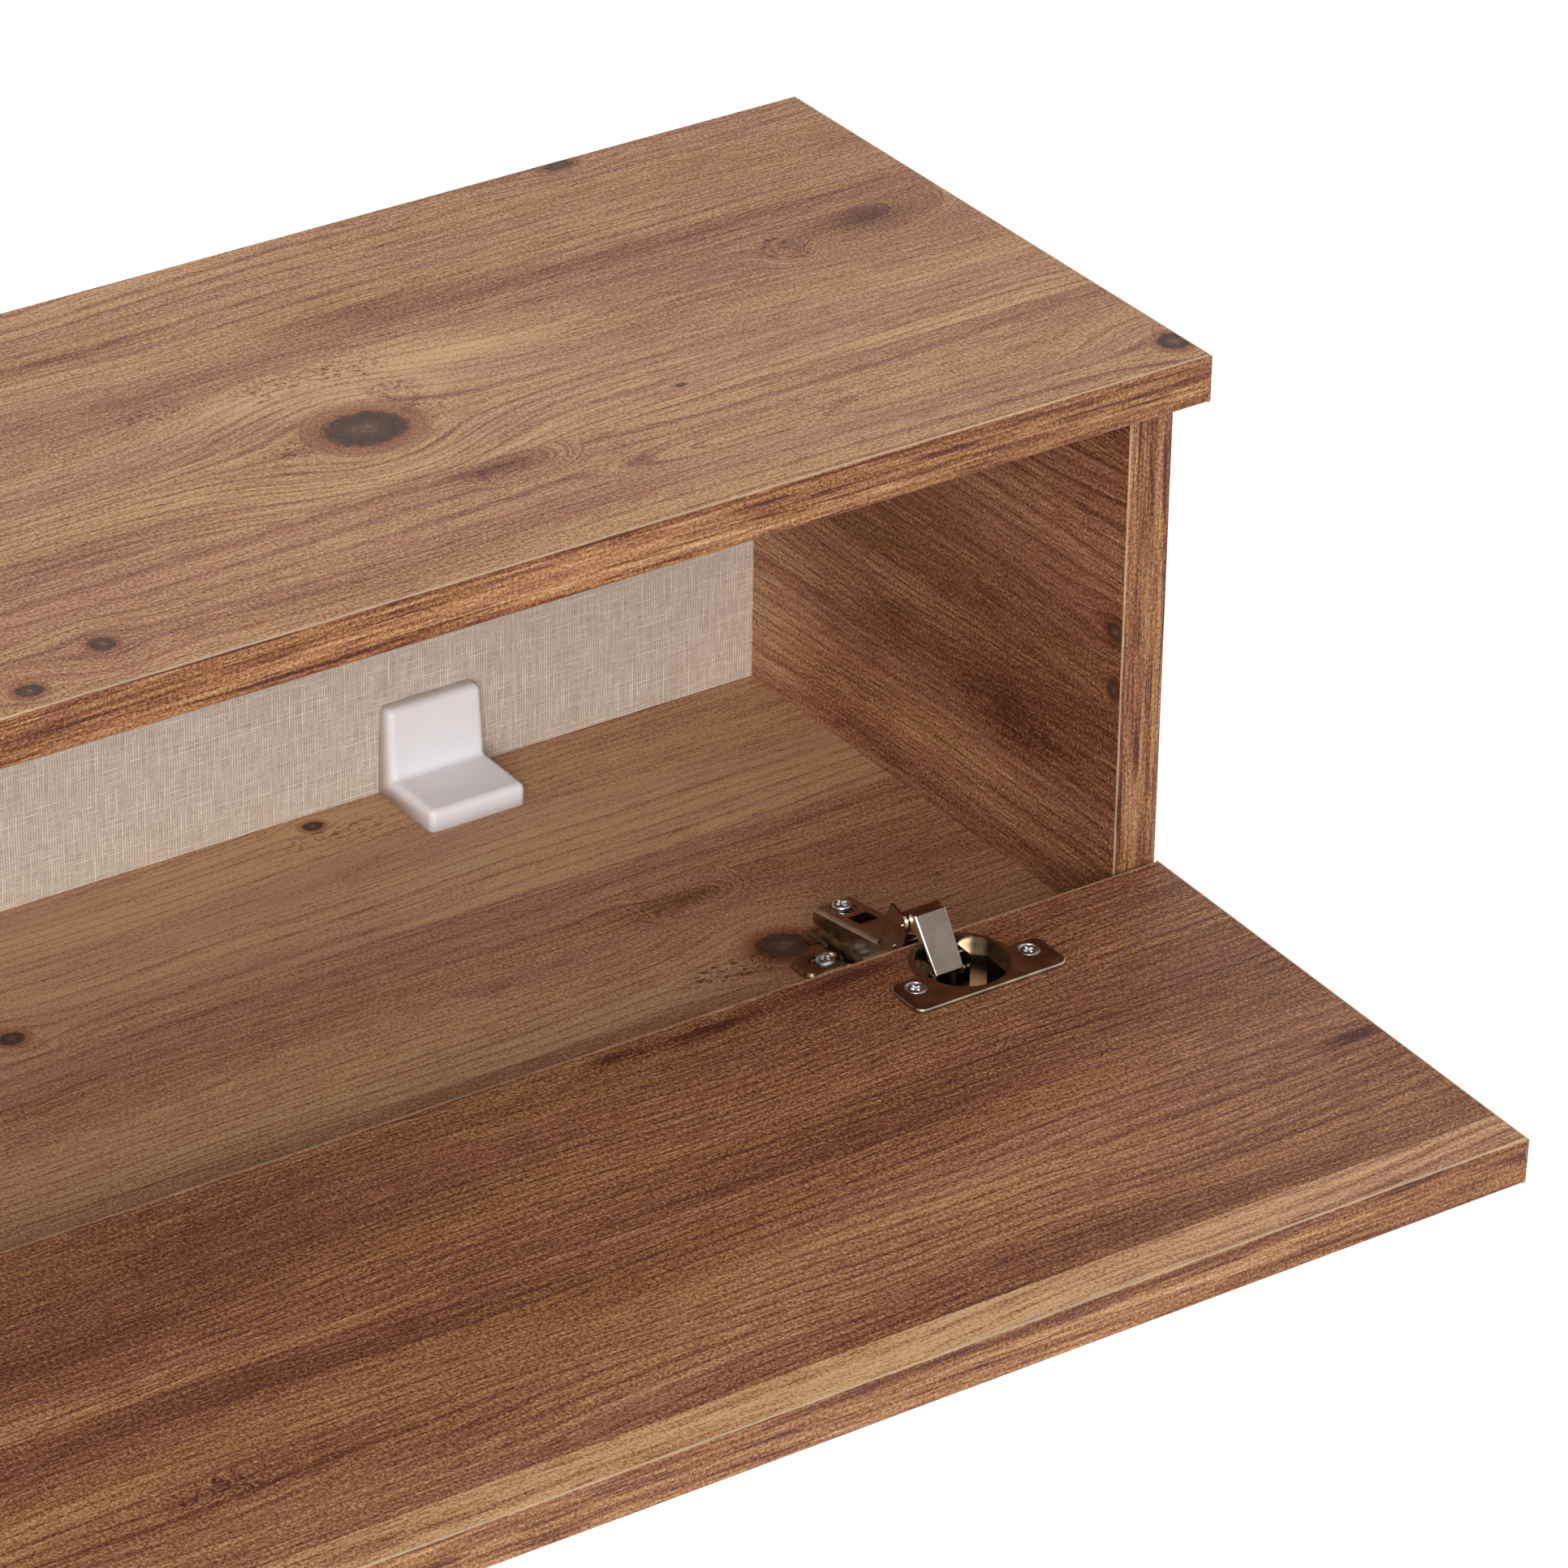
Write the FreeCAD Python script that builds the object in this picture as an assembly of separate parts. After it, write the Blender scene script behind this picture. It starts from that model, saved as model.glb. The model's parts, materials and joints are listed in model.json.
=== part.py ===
import FreeCAD, Part
import math
import os

os.makedirs("parts", exist_ok=True)
V = FreeCAD.Vector

# A wall-hung media console of 18 mm boards: two compartments, each closed by a drop-down flap on
# two inset cup hinges. X runs along the wall, Y points into the wall, Z is up. The wall is y = 0,
# and the origin is the middle of the four wall fixings. The flaps are modelled open.

# Carcass
WIDTH = 1400.0
HEIGHT = 250.0
DEPTH = 250.0
BOARD = 18.0
BACK = 3.0
FRONT_LIP = 20.0
BAND = 1.0
BAND_ROUND = 0.9
BACK_INSET = 1.0
BACK_JOINT = 1.0

# Flaps
FLAP_SIDE_GAP = 2.0
FLAP_FLOOR_GAP = 3.0
FLAP_TOP_GAP = 1.5
FLAP_MIDDLE_GAP = 3.0
FLAP_SWING = 92.0
FLAP_RISE = 22.0

# Hinge linkage: a point of the flap is (height above its lower edge, depth below its inner face)
HINGE_FROM_END = 100.0
CUP_FROM_EDGE = 20.5
CARRIER_CUP_PIVOT = (7.4, 4.4)
CARRIER_REACH = 16.6
COVER_CUP_PIVOT = (11.0, 8.6)
COVER_REACH = 21.0
PIN_R = 1.1
PIN_FIT = 0.05
RIVET = 0.6
STUB_REACH = 1.0
CUP_EYE = 0.9
ARM_EYE = 1.2

# Hinge links, as (back, up) points from the foot of the sides' front edges
LINK_SHEET = 1.2
CARRIER_HALF_WIDTH = 4.4
CARRIER_KNEES = ((-8.2, 24.4), (-6.5, 26.6), (-1.8, 26.8), (4.6, 24.2))
COVER_HALF_WIDTH_TOP = 6.7
COVER_HALF_WIDTH_END = 6.2
COVER_EDGE_R = 0.9
COVER_LINE = ((0.6, 34.6), (-2.6, 35.1), (-15.1, 17.8))
COVER_CHEEK = ((-11.6, 20.6), (-9.4, 24.6), (-3.0, 28.8))

# Hinge cup, with each boss as (sideways, up) points from the middle of the cup
CUP_R = 17.5
CUP_WALL = 0.8
CUP_DEPTH = 13.0
CUP_BOSS = ((8.2, -17.5), (8.2, -6.2), (13.0, -2.7), (11.9, 12.3), (17.5, 12.3), (17.5, -17.5))
BOSS_DROP = 2.0
GATE_FIT = 0.6
CUP_SCREW_SPAN = 48.0
CUP_SCREW_OFFSET = 6.0
CUP_SCREW_LENGTH = 13.4
FLANGE = 1.6
FLANGE_ROLL = 0.7
FLANGE_LENGTH = 64.0
FLANGE_FRONT = 40.0
FLANGE_REAR = 20.5
FLANGE_CORNER = 4.0
BORE_FIT = 0.1

# Mounting plate, set back from the front edges of the sides
PLATE_SETBACK = 37.0
PLATE_SCREW_PITCH = 32.0
PLATE_SCREW_LENGTH = 14.0
PLATE_SHEET = 2.0
PLATE_BASE = 1.1
PLATE_STEP = 0.8
PLATE_HALF_SPAN = 28.0
PLATE_WING = 14.0
PLATE_SPINE = 10.0
PLATE_FRONT = 20.0
PLATE_PAST_ARM = 1.0
PLATE_SLOT = 9.0
WING_CORNER = 4.5
NECK_R = 4.0
TAIL_LENGTH = 6.0
TAIL_REACH = 3.6
RIDGE_HALF_WIDTH = 6.2
RIDGE_TOP = 7.6
RIDGE_ROUND = 1.5
RIDGE_INSET = 2.0

# Hinge arm, as (back, up) points from the foot of the sides' front edges
ARM_SHEET = 1.3
ARM_HALF_WIDTH = 8.3
ARM_REAR = 56.0
ARM_BOTTOM = 5.5
ARM_REAR_HEIGHT = 11.0
ARM_FRONT_HEIGHT = 16.6
ARM_ROOF_FRONT = 17.5
ARM_FOLD_R = 1.6
ARM_GUSSET = ((19.0, ARM_BOTTOM), (19.0, 14.6), (14.8, 17.3), (13.3, 26.3), (9.6, 35.6), (3.8, 34.3))
ARM_NOSE = (0.2, 34.1)
ARM_NOSE_R = 3.2
ARM_CHIN = ((0.2, 26.4), (0.9, 24.4), (2.3, 18.7), (4.8, 14.2), (13.0, 9.0))
ARM_BRIDGE = (1.9, 4.6)
ARM_SLOT = (50.4, 47.6)
ARM_SLOT_R = 2.7
ARM_RECESS = 0.5
ARM_RECESS_R = 4.3
WINDOW = (33.5, 41.0)
WINDOW_HALF_WIDTH = 4.0

# Screws of the hinges
ARM_SCREW_AT = 50.4
ARM_SCREW_R = 2.0
ARM_SCREW_HEAD_R = 3.6
ARM_SCREW_HEAD = 1.8
ARM_SCREW_CHAMFER = 0.6
ARM_SCREW_FOOT = 0.5
THREAD_FIT = 0.1
SCREW_R = 1.75
SCREW_HEAD_R = 4.0
SCREW_SHADOW = 0.1
SCREW_FIT = 0.3
SCREW_TIP = 2.0
SCREW_TIP_R = 1.0
PAN_HEAD = 1.9

# Wall brackets with their covers
BRACKET_FROM_END = 162.0
BRACKET_WIDTH = 38.0
BRACKET_LEG = 33.0
BRACKET_SHEET = 4.0
COVER_WIDTH = 41.0
COVER_LEG = 36.0
COVER_DEPTH = 9.0
COVER_SKIN = 1.6
COVER_ROUND = 1.5
BRACKET_SCREW_LENGTH = 16.0
WALL_HOLE_R = 2.75
WALL_HOLE_UP = 20.0

# Joinery
FITTING_SETBACKS = (64.0, 180.0)
DOWEL_SHIFT = 32.0
DOWEL_R = 4.0
DOWEL_LENGTH = 30.0
CAM_R = 7.5
CAM_DEPTH = 12.5
CAM_DROP = 34.0
CAM_SLOT = 4.0
CAM_BOLT_GRIP = 11.0
CAM_BOLT_R = 2.5
CAM_BOLT_SHANK_R = 3.0
CAM_BOLT_NECK_R = 2.0
CAM_BOLT_NECK = 4.0
CAM_BOLT_HEAD_R = 3.5
CAM_BOLT_HEAD = 3.0
CAM_BOLT_BELOW = 2.0
CAM_BOLT_BORE_R = 4.0
CAM_BOLT_ROOM = 0.5
CONFIRMAT_LENGTH = 50.0
CONFIRMAT_HEAD = 3.0
CONFIRMAT_HEAD_R = 4.8
CONFIRMAT_NECK = 17.0
CONFIRMAT_NECK_R = 3.5
CONFIRMAT_R = 2.5
NAIL_PITCH = 170.0
NAIL_LENGTH = 20.0
NAIL_HEAD = 0.8
NAIL_HEAD_R = 1.5
NAIL_R = 0.7
JOINERY_FIT = 0.05

# Derived planes
HALF = WIDTH / 2
INNER = HEIGHT - 2 * BOARD
FLOOR = -INNER / 2
CEILING = INNER / 2
SIDE_FRONT = -DEPTH + FRONT_LIP
FLAP_HEIGHT = INNER - FLAP_FLOOR_GAP - FLAP_TOP_GAP
FLAP_EDGE = FLOOR + FLAP_FLOOR_GAP
FLAP_FACE = SIDE_FRONT - FLAP_SIDE_GAP
UPRIGHTS = (-HALF + BOARD / 2, 0.0, HALF - BOARD / 2)
HINGE_XS = {
    "left_outer": -HALF + HINGE_FROM_END,
    "left_inner": -FLAP_MIDDLE_GAP / 2 - HINGE_FROM_END,
    "right_inner": FLAP_MIDDLE_GAP / 2 + HINGE_FROM_END,
    "right_outer": HALF - HINGE_FROM_END,
}


def box(x0, x1, y0, y1, z0, z1):
    return Part.makeBox(x1 - x0, y1 - y0, z1 - z0, V(x0, y0, z0))


def rod(radius, start, end):
    return Part.makeCylinder(radius, (end - start).Length, start, end - start)


def export(name, *solids):
    shape = solids[0] if len(solids) == 1 else Part.makeCompound(list(solids))
    shape.exportStep(f"parts/{name}.step")


def turned(profile, base, direction):
    """A turned piece: (distance along the axis, radius) steps revolved and set on base."""
    start, end = profile[0][0], profile[-1][0]
    points = [V(0, 0, start)] + [V(r, 0, along) for along, r in profile] + [V(0, 0, end)]
    solid = Part.Face(Part.makePolygon(points + points[:1])).revolve(V(0, 0, 0), V(0, 0, 1), 360)
    solid.Placement = FreeCAD.Placement(base, FreeCAD.Rotation(V(0, 0, 1), direction))
    return solid


def side_view(points, x0, x1):
    """A plate cut to a (y, z) outline, running from x0 to x1."""
    corners = [V(x0, y, z) for y, z in points]
    return Part.Face(Part.makePolygon(corners + corners[:1])).extrude(V(x1 - x0, 0, 0))


def bent_strip(points, sheet, x0, x1):
    """Sheet bent along a (y, z) centre line, with mitred bends."""
    offsets = []
    for i, (y, z) in enumerate(points):
        before = points[max(i - 1, 0)]
        after = points[min(i + 1, len(points) - 1)]
        into = V(0, y - before[0], z - before[1]) if i else V(0, after[0] - y, after[1] - z)
        out = V(0, after[0] - y, after[1] - z) if i < len(points) - 1 else into
        into.normalize()
        out.normalize()
        normal = V(0, -into.z - out.z, into.y + out.y)
        normal.normalize()
        lean = max(normal.y * -into.z + normal.z * into.y, 0.5)
        offsets.append(normal * (sheet / 2 / lean))
    outer = [(y + o.y, z + o.z) for (y, z), o in zip(points, offsets)]
    inner = [(y - o.y, z - o.z) for (y, z), o in zip(points, offsets)]
    return side_view(outer + inner[::-1], x0, x1)


def rounded(solid, radius, chosen):
    edges = [edge for edge in solid.Edges if chosen(edge)]
    return solid.makeFillet(radius, edges)


def along_x(edge):
    return abs(edge.tangentAt(edge.FirstParameter).x) > 0.999


def along_y(edge):
    return abs(edge.tangentAt(edge.FirstParameter).y) > 0.999


def along_z(edge):
    return abs(edge.tangentAt(edge.FirstParameter).z) > 0.999


def open_flap(solid):
    """Carries a piece of the closed flap to the open position."""
    moved = solid.copy()
    moved.rotate(V(0, FLAP_FACE, FLAP_EDGE), V(1, 0, 0), FLAP_SWING)
    moved.translate(V(0, 0, FLAP_RISE))
    return moved


def closed_point(up, deep):
    return V(0, FLAP_FACE - deep, FLAP_EDGE + up)


def open_point(up, deep):
    spot = Part.Vertex(closed_point(up, deep))
    return open_flap(spot).Point


def arm_pivot(cup_pivot, reach):
    """The fixed pivot that lies one link length from both end positions of the cup pivot."""
    shut, dropped = closed_point(*cup_pivot), open_point(*cup_pivot)
    chord = dropped - shut
    middle = (shut + dropped) / 2
    square = V(0, chord.z, -chord.y)
    square.normalize()
    return middle + square * math.sqrt(reach**2 - (chord.Length / 2) ** 2)


CARRIER_ARM = arm_pivot(CARRIER_CUP_PIVOT, CARRIER_REACH)
CARRIER_CUP = open_point(*CARRIER_CUP_PIVOT)
COVER_ARM = arm_pivot(COVER_CUP_PIVOT, COVER_REACH)
COVER_CUP = open_point(*COVER_CUP_PIVOT)


def at_front(*points):
    """(y, z) points measured from the sides' front edges and the floor of the compartment."""
    return [(SIDE_FRONT + y, FLOOR + z) for y, z in points]


# Joinery pieces


def confirmat(base, fit=0.0):
    """A one-piece board screw, driven up from base through the bottom board."""
    profile = ((0, CONFIRMAT_HEAD_R + fit), (CONFIRMAT_HEAD, CONFIRMAT_NECK_R + fit),
               (CONFIRMAT_NECK, CONFIRMAT_NECK_R + fit), (CONFIRMAT_NECK, CONFIRMAT_R + fit),
               (CONFIRMAT_LENGTH + fit, CONFIRMAT_R + fit))
    return turned(profile, base, V(0, 0, 1))


def dowel(x, y, z, fit=0.0):
    half = DOWEL_LENGTH / 2 + 4 * fit
    return rod(DOWEL_R + fit, V(x, y, z - half), V(x, y, z + half))


def cam_side(x):
    """The face of an upright that the cam is let into: the one inside a compartment."""
    return 1 if x < HALF / 2 else -1


def cam(x, y, fit=0.0):
    face = x + cam_side(x) * BOARD / 2
    floor = face - cam_side(x) * (CAM_DEPTH + fit)
    return rod(CAM_R + fit, V(face, y, CEILING - CAM_DROP), V(floor, y, CEILING - CAM_DROP))


def slotted_cam(x, y):
    """The cam disc, open at its top and middle for the head of its bolt."""
    foot = CEILING - CAM_DROP - CAM_BOLT_HEAD
    slot = box(x - CAM_SLOT, x + CAM_SLOT, y - CAM_SLOT, y + CAM_SLOT, foot, CEILING)
    return cam(x, y).cut(slot)


def cam_bolt(x, y):
    """The bolt from a cam up into the top board: head, neck, shank and thread."""
    neck = CAM_BOLT_HEAD + CAM_BOLT_NECK
    collar = CAM_DROP + CAM_BOLT_BELOW
    profile = ((0, CAM_BOLT_HEAD_R), (CAM_BOLT_HEAD, CAM_BOLT_HEAD_R), (CAM_BOLT_HEAD, CAM_BOLT_NECK_R),
               (neck, CAM_BOLT_NECK_R), (neck, CAM_BOLT_SHANK_R), (collar, CAM_BOLT_SHANK_R),
               (collar, CAM_BOLT_R), (collar + CAM_BOLT_GRIP, CAM_BOLT_R))
    return turned(profile, V(x, y, CEILING - CAM_DROP - CAM_BOLT_BELOW), V(0, 0, 1))


def cam_bolt_bores(x, y):
    edge_bore = rod(CAM_BOLT_BORE_R, V(x, y, CEILING - CAM_DROP), V(x, y, CEILING))
    bore_top = CEILING + CAM_BOLT_GRIP + CAM_BOLT_ROOM
    top_bore = rod(CAM_BOLT_R + JOINERY_FIT, V(x, y, CEILING), V(x, y, bore_top))
    return edge_bore.fuse(top_bore)


FITTING_YS = [SIDE_FRONT + back for back in FITTING_SETBACKS]
FITTING_SPOTS = [(x, y) for x in UPRIGHTS for y in FITTING_YS]
DOWEL_YS = (FITTING_YS[0] + DOWEL_SHIFT, FITTING_YS[1] - DOWEL_SHIFT)
DOWEL_SPOTS = [(x, y) for x in UPRIGHTS for y in DOWEL_YS]
CONFIRMATS = [confirmat(V(x, y, -HEIGHT / 2)) for x, y in FITTING_SPOTS]
CONFIRMAT_BORES = [confirmat(V(x, y, -HEIGHT / 2), JOINERY_FIT) for x, y in FITTING_SPOTS]
DOWELS = [dowel(x, y, z) for x, y in DOWEL_SPOTS for z in (FLOOR, CEILING)]
DOWEL_BORES = [dowel(x, y, z, JOINERY_FIT) for x, y in DOWEL_SPOTS for z in (FLOOR, CEILING)]
CAM_BORES = [cam(x, y, JOINERY_FIT) for x, y in FITTING_SPOTS]
BOLT_BORES = [cam_bolt_bores(x, y) for x, y in FITTING_SPOTS]


def build_carcass():
    end = HALF - BAND
    front = -DEPTH + BAND
    top = box(-end, end, front, 0, CEILING, HEIGHT / 2)
    bottom = box(-end, end, front, -BACK, -HEIGHT / 2, FLOOR)
    export("top_panel", top.cut(DOWEL_BORES + BOLT_BORES))
    export("bottom_panel", bottom.cut(DOWEL_BORES + CONFIRMAT_BORES))
    for name, x in zip(("left_side_panel", "centre_divider", "right_side_panel"), UPRIGHTS):
        board = box(x - BOARD / 2, x + BOARD / 2, SIDE_FRONT + BAND, -BACK, FLOOR, CEILING)
        export(name, board.cut(DOWEL_BORES + CONFIRMAT_BORES + CAM_BORES + BOLT_BORES))
    export("confirmat_screws", *CONFIRMATS)
    export("dowels", *DOWELS)
    export("cam_discs", *[slotted_cam(x, y) for x, y in FITTING_SPOTS])
    export("cam_bolts", *[cam_bolt(x, y) for x, y in FITTING_SPOTS])


def front_band(x0, x1, y, z0, z1, chosen):
    """A glued strip on a front edge, with its long outer edges rounded."""
    strip = box(x0, x1, y, y + BAND, z0, z1)
    return rounded(strip, BAND_ROUND, lambda e: chosen(e) and abs(e.CenterOfMass.y - y) < 0.01)


def end_band(side, y0, y1, z0, z1):
    """A glued strip on the left (-1) or right (1) end of a board."""
    outer, core = side * HALF, side * (HALF - BAND)
    strip = box(min(outer, core), max(outer, core), y0, y1, z0, z1)
    return rounded(strip, BAND_ROUND, lambda e: along_y(e) and abs(e.CenterOfMass.x - outer) < 0.01)


def build_carcass_bands():
    front = -DEPTH
    levels = {"top": (CEILING, HEIGHT / 2, 0), "bottom": (-HEIGHT / 2, FLOOR, -BACK)}
    for name, (low, high, rear) in levels.items():
        export(f"{name}_front_band", front_band(-HALF + BAND, HALF - BAND, front, low, high, along_x))
        export(f"{name}_end_bands", *[end_band(side, front, rear, low, high) for side in (-1, 1)])
    for name, x in zip(("left_side_band", "divider_band", "right_side_band"), UPRIGHTS):
        strip = front_band(x - BOARD / 2, x + BOARD / 2, SIDE_FRONT, FLOOR, CEILING, along_z)
        export(name, strip)


# Back panels and wall brackets


BRACKET_XS = {"left": -HALF + BRACKET_FROM_END, "right": HALF - BRACKET_FROM_END}
LEVELS = {"lower": 1, "upper": -1}


def seated(solid, x, level):
    """Sets a bracket piece, drawn in the back corner of the floor at x = 0, at its own corner."""
    placed = solid.copy()
    if level < 0:
        placed = placed.mirror(V(0, 0, 0), V(0, 0, 1))
    placed.translate(V(x, 0, 0))
    return placed


def corner_outline(leg, deep):
    """An L in the back corner of the floor: two legs of one length, both deep thick."""
    return ((-BACK, FLOOR), (-BACK, FLOOR + leg), (-BACK - deep, FLOOR + leg),
            (-BACK - deep, FLOOR + deep), (-BACK - leg, FLOOR + deep), (-BACK - leg, FLOOR))


def bracket():
    """A corner angle with one wall hole and one board hole."""
    half = BRACKET_WIDTH / 2 - COVER_SKIN
    angle = side_view(corner_outline(BRACKET_LEG, BRACKET_SHEET), -half, half)
    up, back = FLOOR + WALL_HOLE_UP, -BACK - WALL_HOLE_UP
    wall_hole = rod(WALL_HOLE_R, V(0, 0, up), V(0, -BACK - 2 * BRACKET_SHEET, up))
    board_hole = rod(SCREW_R + JOINERY_FIT, V(0, back, FLOOR), V(0, back, FLOOR + 2 * BRACKET_SHEET))
    return angle.cut([wall_hole, board_hole]).removeSplitter()


def bracket_cover():
    """A snap-on hood: an L of soft-cornered moulding, open towards the corner that it covers."""
    half = COVER_WIDTH / 2
    hood = side_view(corner_outline(COVER_LEG, COVER_DEPTH), -half, half)

    def soft(edge):
        middle = edge.CenterOfMass
        return middle.y < -BACK - 0.01 and middle.z > FLOOR + 0.01

    hood = rounded(hood, COVER_ROUND, soft)
    inside = corner_outline(COVER_LEG - COVER_SKIN, COVER_DEPTH - COVER_SKIN)
    return hood.cut(side_view(inside, -half + COVER_SKIN, half - COVER_SKIN))


def wall_bores():
    heights = [level * (FLOOR + WALL_HOLE_UP) for level in LEVELS.values()]
    return [rod(WALL_HOLE_R, V(x, 0, z), V(x, -BACK, z)) for x in BRACKET_XS.values() for z in heights]


def nail_spots():
    """Round the three nailed edges of each half of the back: the uprights and the bottom."""
    spots = []
    for side in (-1, 1):
        for x in (side * (HALF - BOARD / 2), side * BOARD / 4):
            spots += [(x, z) for z in (FLOOR + BOARD, 0.0, CEILING - BOARD)]
        count = int((HALF - BOARD) // NAIL_PITCH)
        spots += [(side * (i + 0.5) * (HALF - BOARD) / count, FLOOR - BOARD / 2) for i in range(count)]
    return spots


def build_back():
    for name, side in (("left_back_panel", -1), ("right_back_panel", 1)):
        inner, outer = side * BACK_JOINT / 2, side * (HALF - BACK_INSET)
        sheet = box(min(inner, outer), max(inner, outer), -BACK, 0, -HEIGHT / 2 + BACK_INSET, CEILING)
        export(name, sheet.cut(wall_bores()))
    shank = NAIL_LENGTH - NAIL_HEAD
    nail = ((0, NAIL_R), (shank, NAIL_R), (shank, NAIL_HEAD_R), (NAIL_LENGTH, NAIL_HEAD_R))
    export("back_nails", *[turned(nail, V(x, -NAIL_LENGTH, z), V(0, 1, 0)) for x, z in nail_spots()])
    for end, x in BRACKET_XS.items():
        for level, turn in LEVELS.items():
            export(f"{end}_{level}_bracket", seated(bracket(), x, turn))
            export(f"{end}_{level}_bracket_cover", seated(bracket_cover(), x, turn))
    reach = BRACKET_SCREW_LENGTH
    base = V(0, -BACK - WALL_HOLE_UP, FLOOR + BRACKET_SHEET - reach)
    head = SCREW_HEAD_R - SCREW_FIT
    profile = ((0, SCREW_TIP_R), (SCREW_TIP, SCREW_R), (reach, SCREW_R),
               (reach, head), (reach + PAN_HEAD, head / 2))
    screw = turned(profile, base, V(0, 0, 1))
    corners = [(x, turn) for x in BRACKET_XS.values() for turn in LEVELS.values()]
    export("bracket_screws", *[seated(screw, x, turn) for x, turn in corners])


# Flaps, drawn closed and then dropped open


def flap_span(side):
    inner, outer = side * FLAP_MIDDLE_GAP / 2, side * HALF
    return min(inner, outer), max(inner, outer)


def cup_bore(x):
    centre = closed_point(CUP_FROM_EDGE, 0)
    centre.x = x
    return rod(CUP_R + BORE_FIT, centre, centre + V(0, -CUP_DEPTH - BORE_FIT, 0))


def build_flap(name, side, hinges):
    x0, x1 = flap_span(side)
    face, outside = FLAP_FACE, FLAP_FACE - BOARD
    low, high = FLAP_EDGE, FLAP_EDGE + FLAP_HEIGHT
    core = box(x0 + BAND, x1 - BAND, outside, face, low + BAND, high - BAND)
    core = core.cut([cup_bore(x) for x in hinges])
    export(f"{name}_flap_panel", open_flap(core))
    for place, z, edge in (("lower", low, low), ("upper", high - BAND, high)):
        strip = box(x0 + BAND, x1 - BAND, outside, face, z, z + BAND)
        strip = rounded(strip, BAND_ROUND, lambda e: along_x(e) and abs(e.CenterOfMass.z - edge) < 0.01)
        export(f"{name}_flap_{place}_band", open_flap(strip))
    ends = []
    for x, edge in ((x0, x0), (x1 - BAND, x1)):
        strip = box(x, x + BAND, outside, face, low, high)
        strip = rounded(strip, BAND_ROUND, lambda e: along_z(e) and abs(e.CenterOfMass.x - edge) < 0.01)
        ends.append(open_flap(strip))
    export(f"{name}_flap_end_bands", *ends)


# Hinges


def plan_view(points, y, depth):
    """A pressing in the flap's inner face: a (sideways, up) outline at y, running depth outwards."""
    corners = [V(side, y, up) for side, up in points]
    return Part.Face(Part.makePolygon(corners + corners[:1])).extrude(V(0, -depth, 0))


def flange_plate(x):
    """The screw flange, with round corners and a rolled outer edge."""
    half = FLANGE_LENGTH / 2
    outer = FLAP_FACE + FLANGE
    plate = box(x - half, x + half, FLAP_FACE, outer, FLAP_EDGE + FLANGE_REAR, FLAP_EDGE + FLANGE_FRONT)
    plate = rounded(plate, FLANGE_CORNER, along_y)
    return rounded(plate, FLANGE_ROLL, lambda e: not along_y(e) and abs(e.CenterOfMass.y - outer) < 0.01)


def cup(x):
    """The pressed cup with its flange, its two bosses and the carrier link's axle."""
    centre = closed_point(CUP_FROM_EDGE, 0) + V(x, 0, 0)
    inward = V(0, -1, 0)
    hollow_r = CUP_R - CUP_WALL
    floor_depth = CUP_DEPTH - CUP_WALL
    shell = rod(CUP_R, centre, centre + inward * CUP_DEPTH)
    rim = rod(CUP_R + CUP_WALL, centre - inward * FLANGE, centre)
    hollow = rod(hollow_r, centre - inward * FLANGE, centre + inward * floor_depth)
    body = shell.fuse([rim, flange_plate(x)]).cut(hollow)
    gate_half = COVER_HALF_WIDTH_TOP + GATE_FIT
    gate = box(x - gate_half, x + gate_half, FLAP_FACE, FLAP_FACE + FLANGE,
               FLAP_EDGE, FLAP_EDGE + CUP_FROM_EDGE - hollow_r / 2)
    body = body.cut(gate)
    for side in (-1, 1):
        outline = [(x + side * out, FLAP_EDGE + CUP_FROM_EDGE + up) for out, up in CUP_BOSS]
        boss = plan_view(outline, FLAP_FACE - BOSS_DROP, floor_depth - BOSS_DROP)
        body = body.fuse(boss.common(hollow))
    pivot = closed_point(*CARRIER_CUP_PIVOT)
    chord = math.sqrt(CUP_R**2 - (CUP_FROM_EDGE - CARRIER_CUP_PIVOT[0] + PIN_R) ** 2)
    axle = rod(PIN_R, pivot + V(x - chord, 0, 0), pivot + V(x + chord, 0, 0))
    row = closed_point(CUP_FROM_EDGE + CUP_SCREW_OFFSET, 0)
    screws = [row + V(x + side * CUP_SCREW_SPAN / 2, 0, 0) for side in (-1, 1)]
    sink = ((0, SCREW_R + SCREW_FIT), (FLANGE, SCREW_HEAD_R))
    return body.fuse(axle).cut([turned(sink, spot, V(0, 1, 0)) for spot in screws]).removeSplitter()


def cup_screw(x):
    spot = closed_point(CUP_FROM_EDGE + CUP_SCREW_OFFSET, -FLANGE) + V(x, 0, 0)
    reach = CUP_SCREW_LENGTH
    profile = ((0, SCREW_TIP_R), (SCREW_TIP, SCREW_R), (reach - FLANGE, SCREW_R),
               (reach, SCREW_HEAD_R - SCREW_SHADOW))
    return turned(profile, spot + V(0, -reach, 0), V(0, 1, 0))


def eye(pivot, radius, x0, x1):
    return rod(radius, pivot + V(x0, 0, 0), pivot + V(x1, 0, 0))


def carrier_link(x):
    """The hidden link: it hooks over the flap's edge and carries the cup's axle."""
    line = [(CARRIER_CUP.y, CARRIER_CUP.z)] + at_front(*CARRIER_KNEES) + [(CARRIER_ARM.y, CARRIER_ARM.z)]
    left, right = x - CARRIER_HALF_WIDTH, x + CARRIER_HALF_WIDTH
    strip = bent_strip(line, LINK_SHEET, left, right)
    eyes = [eye(CARRIER_CUP, PIN_R + CUP_EYE, left, right), eye(CARRIER_ARM, PIN_R + ARM_EYE, left, right)]
    bores = [eye(p, PIN_R + PIN_FIT, left, right) for p in (CARRIER_CUP, CARRIER_ARM)]
    return strip.fuse(eyes).cut(bores).removeSplitter()


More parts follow.
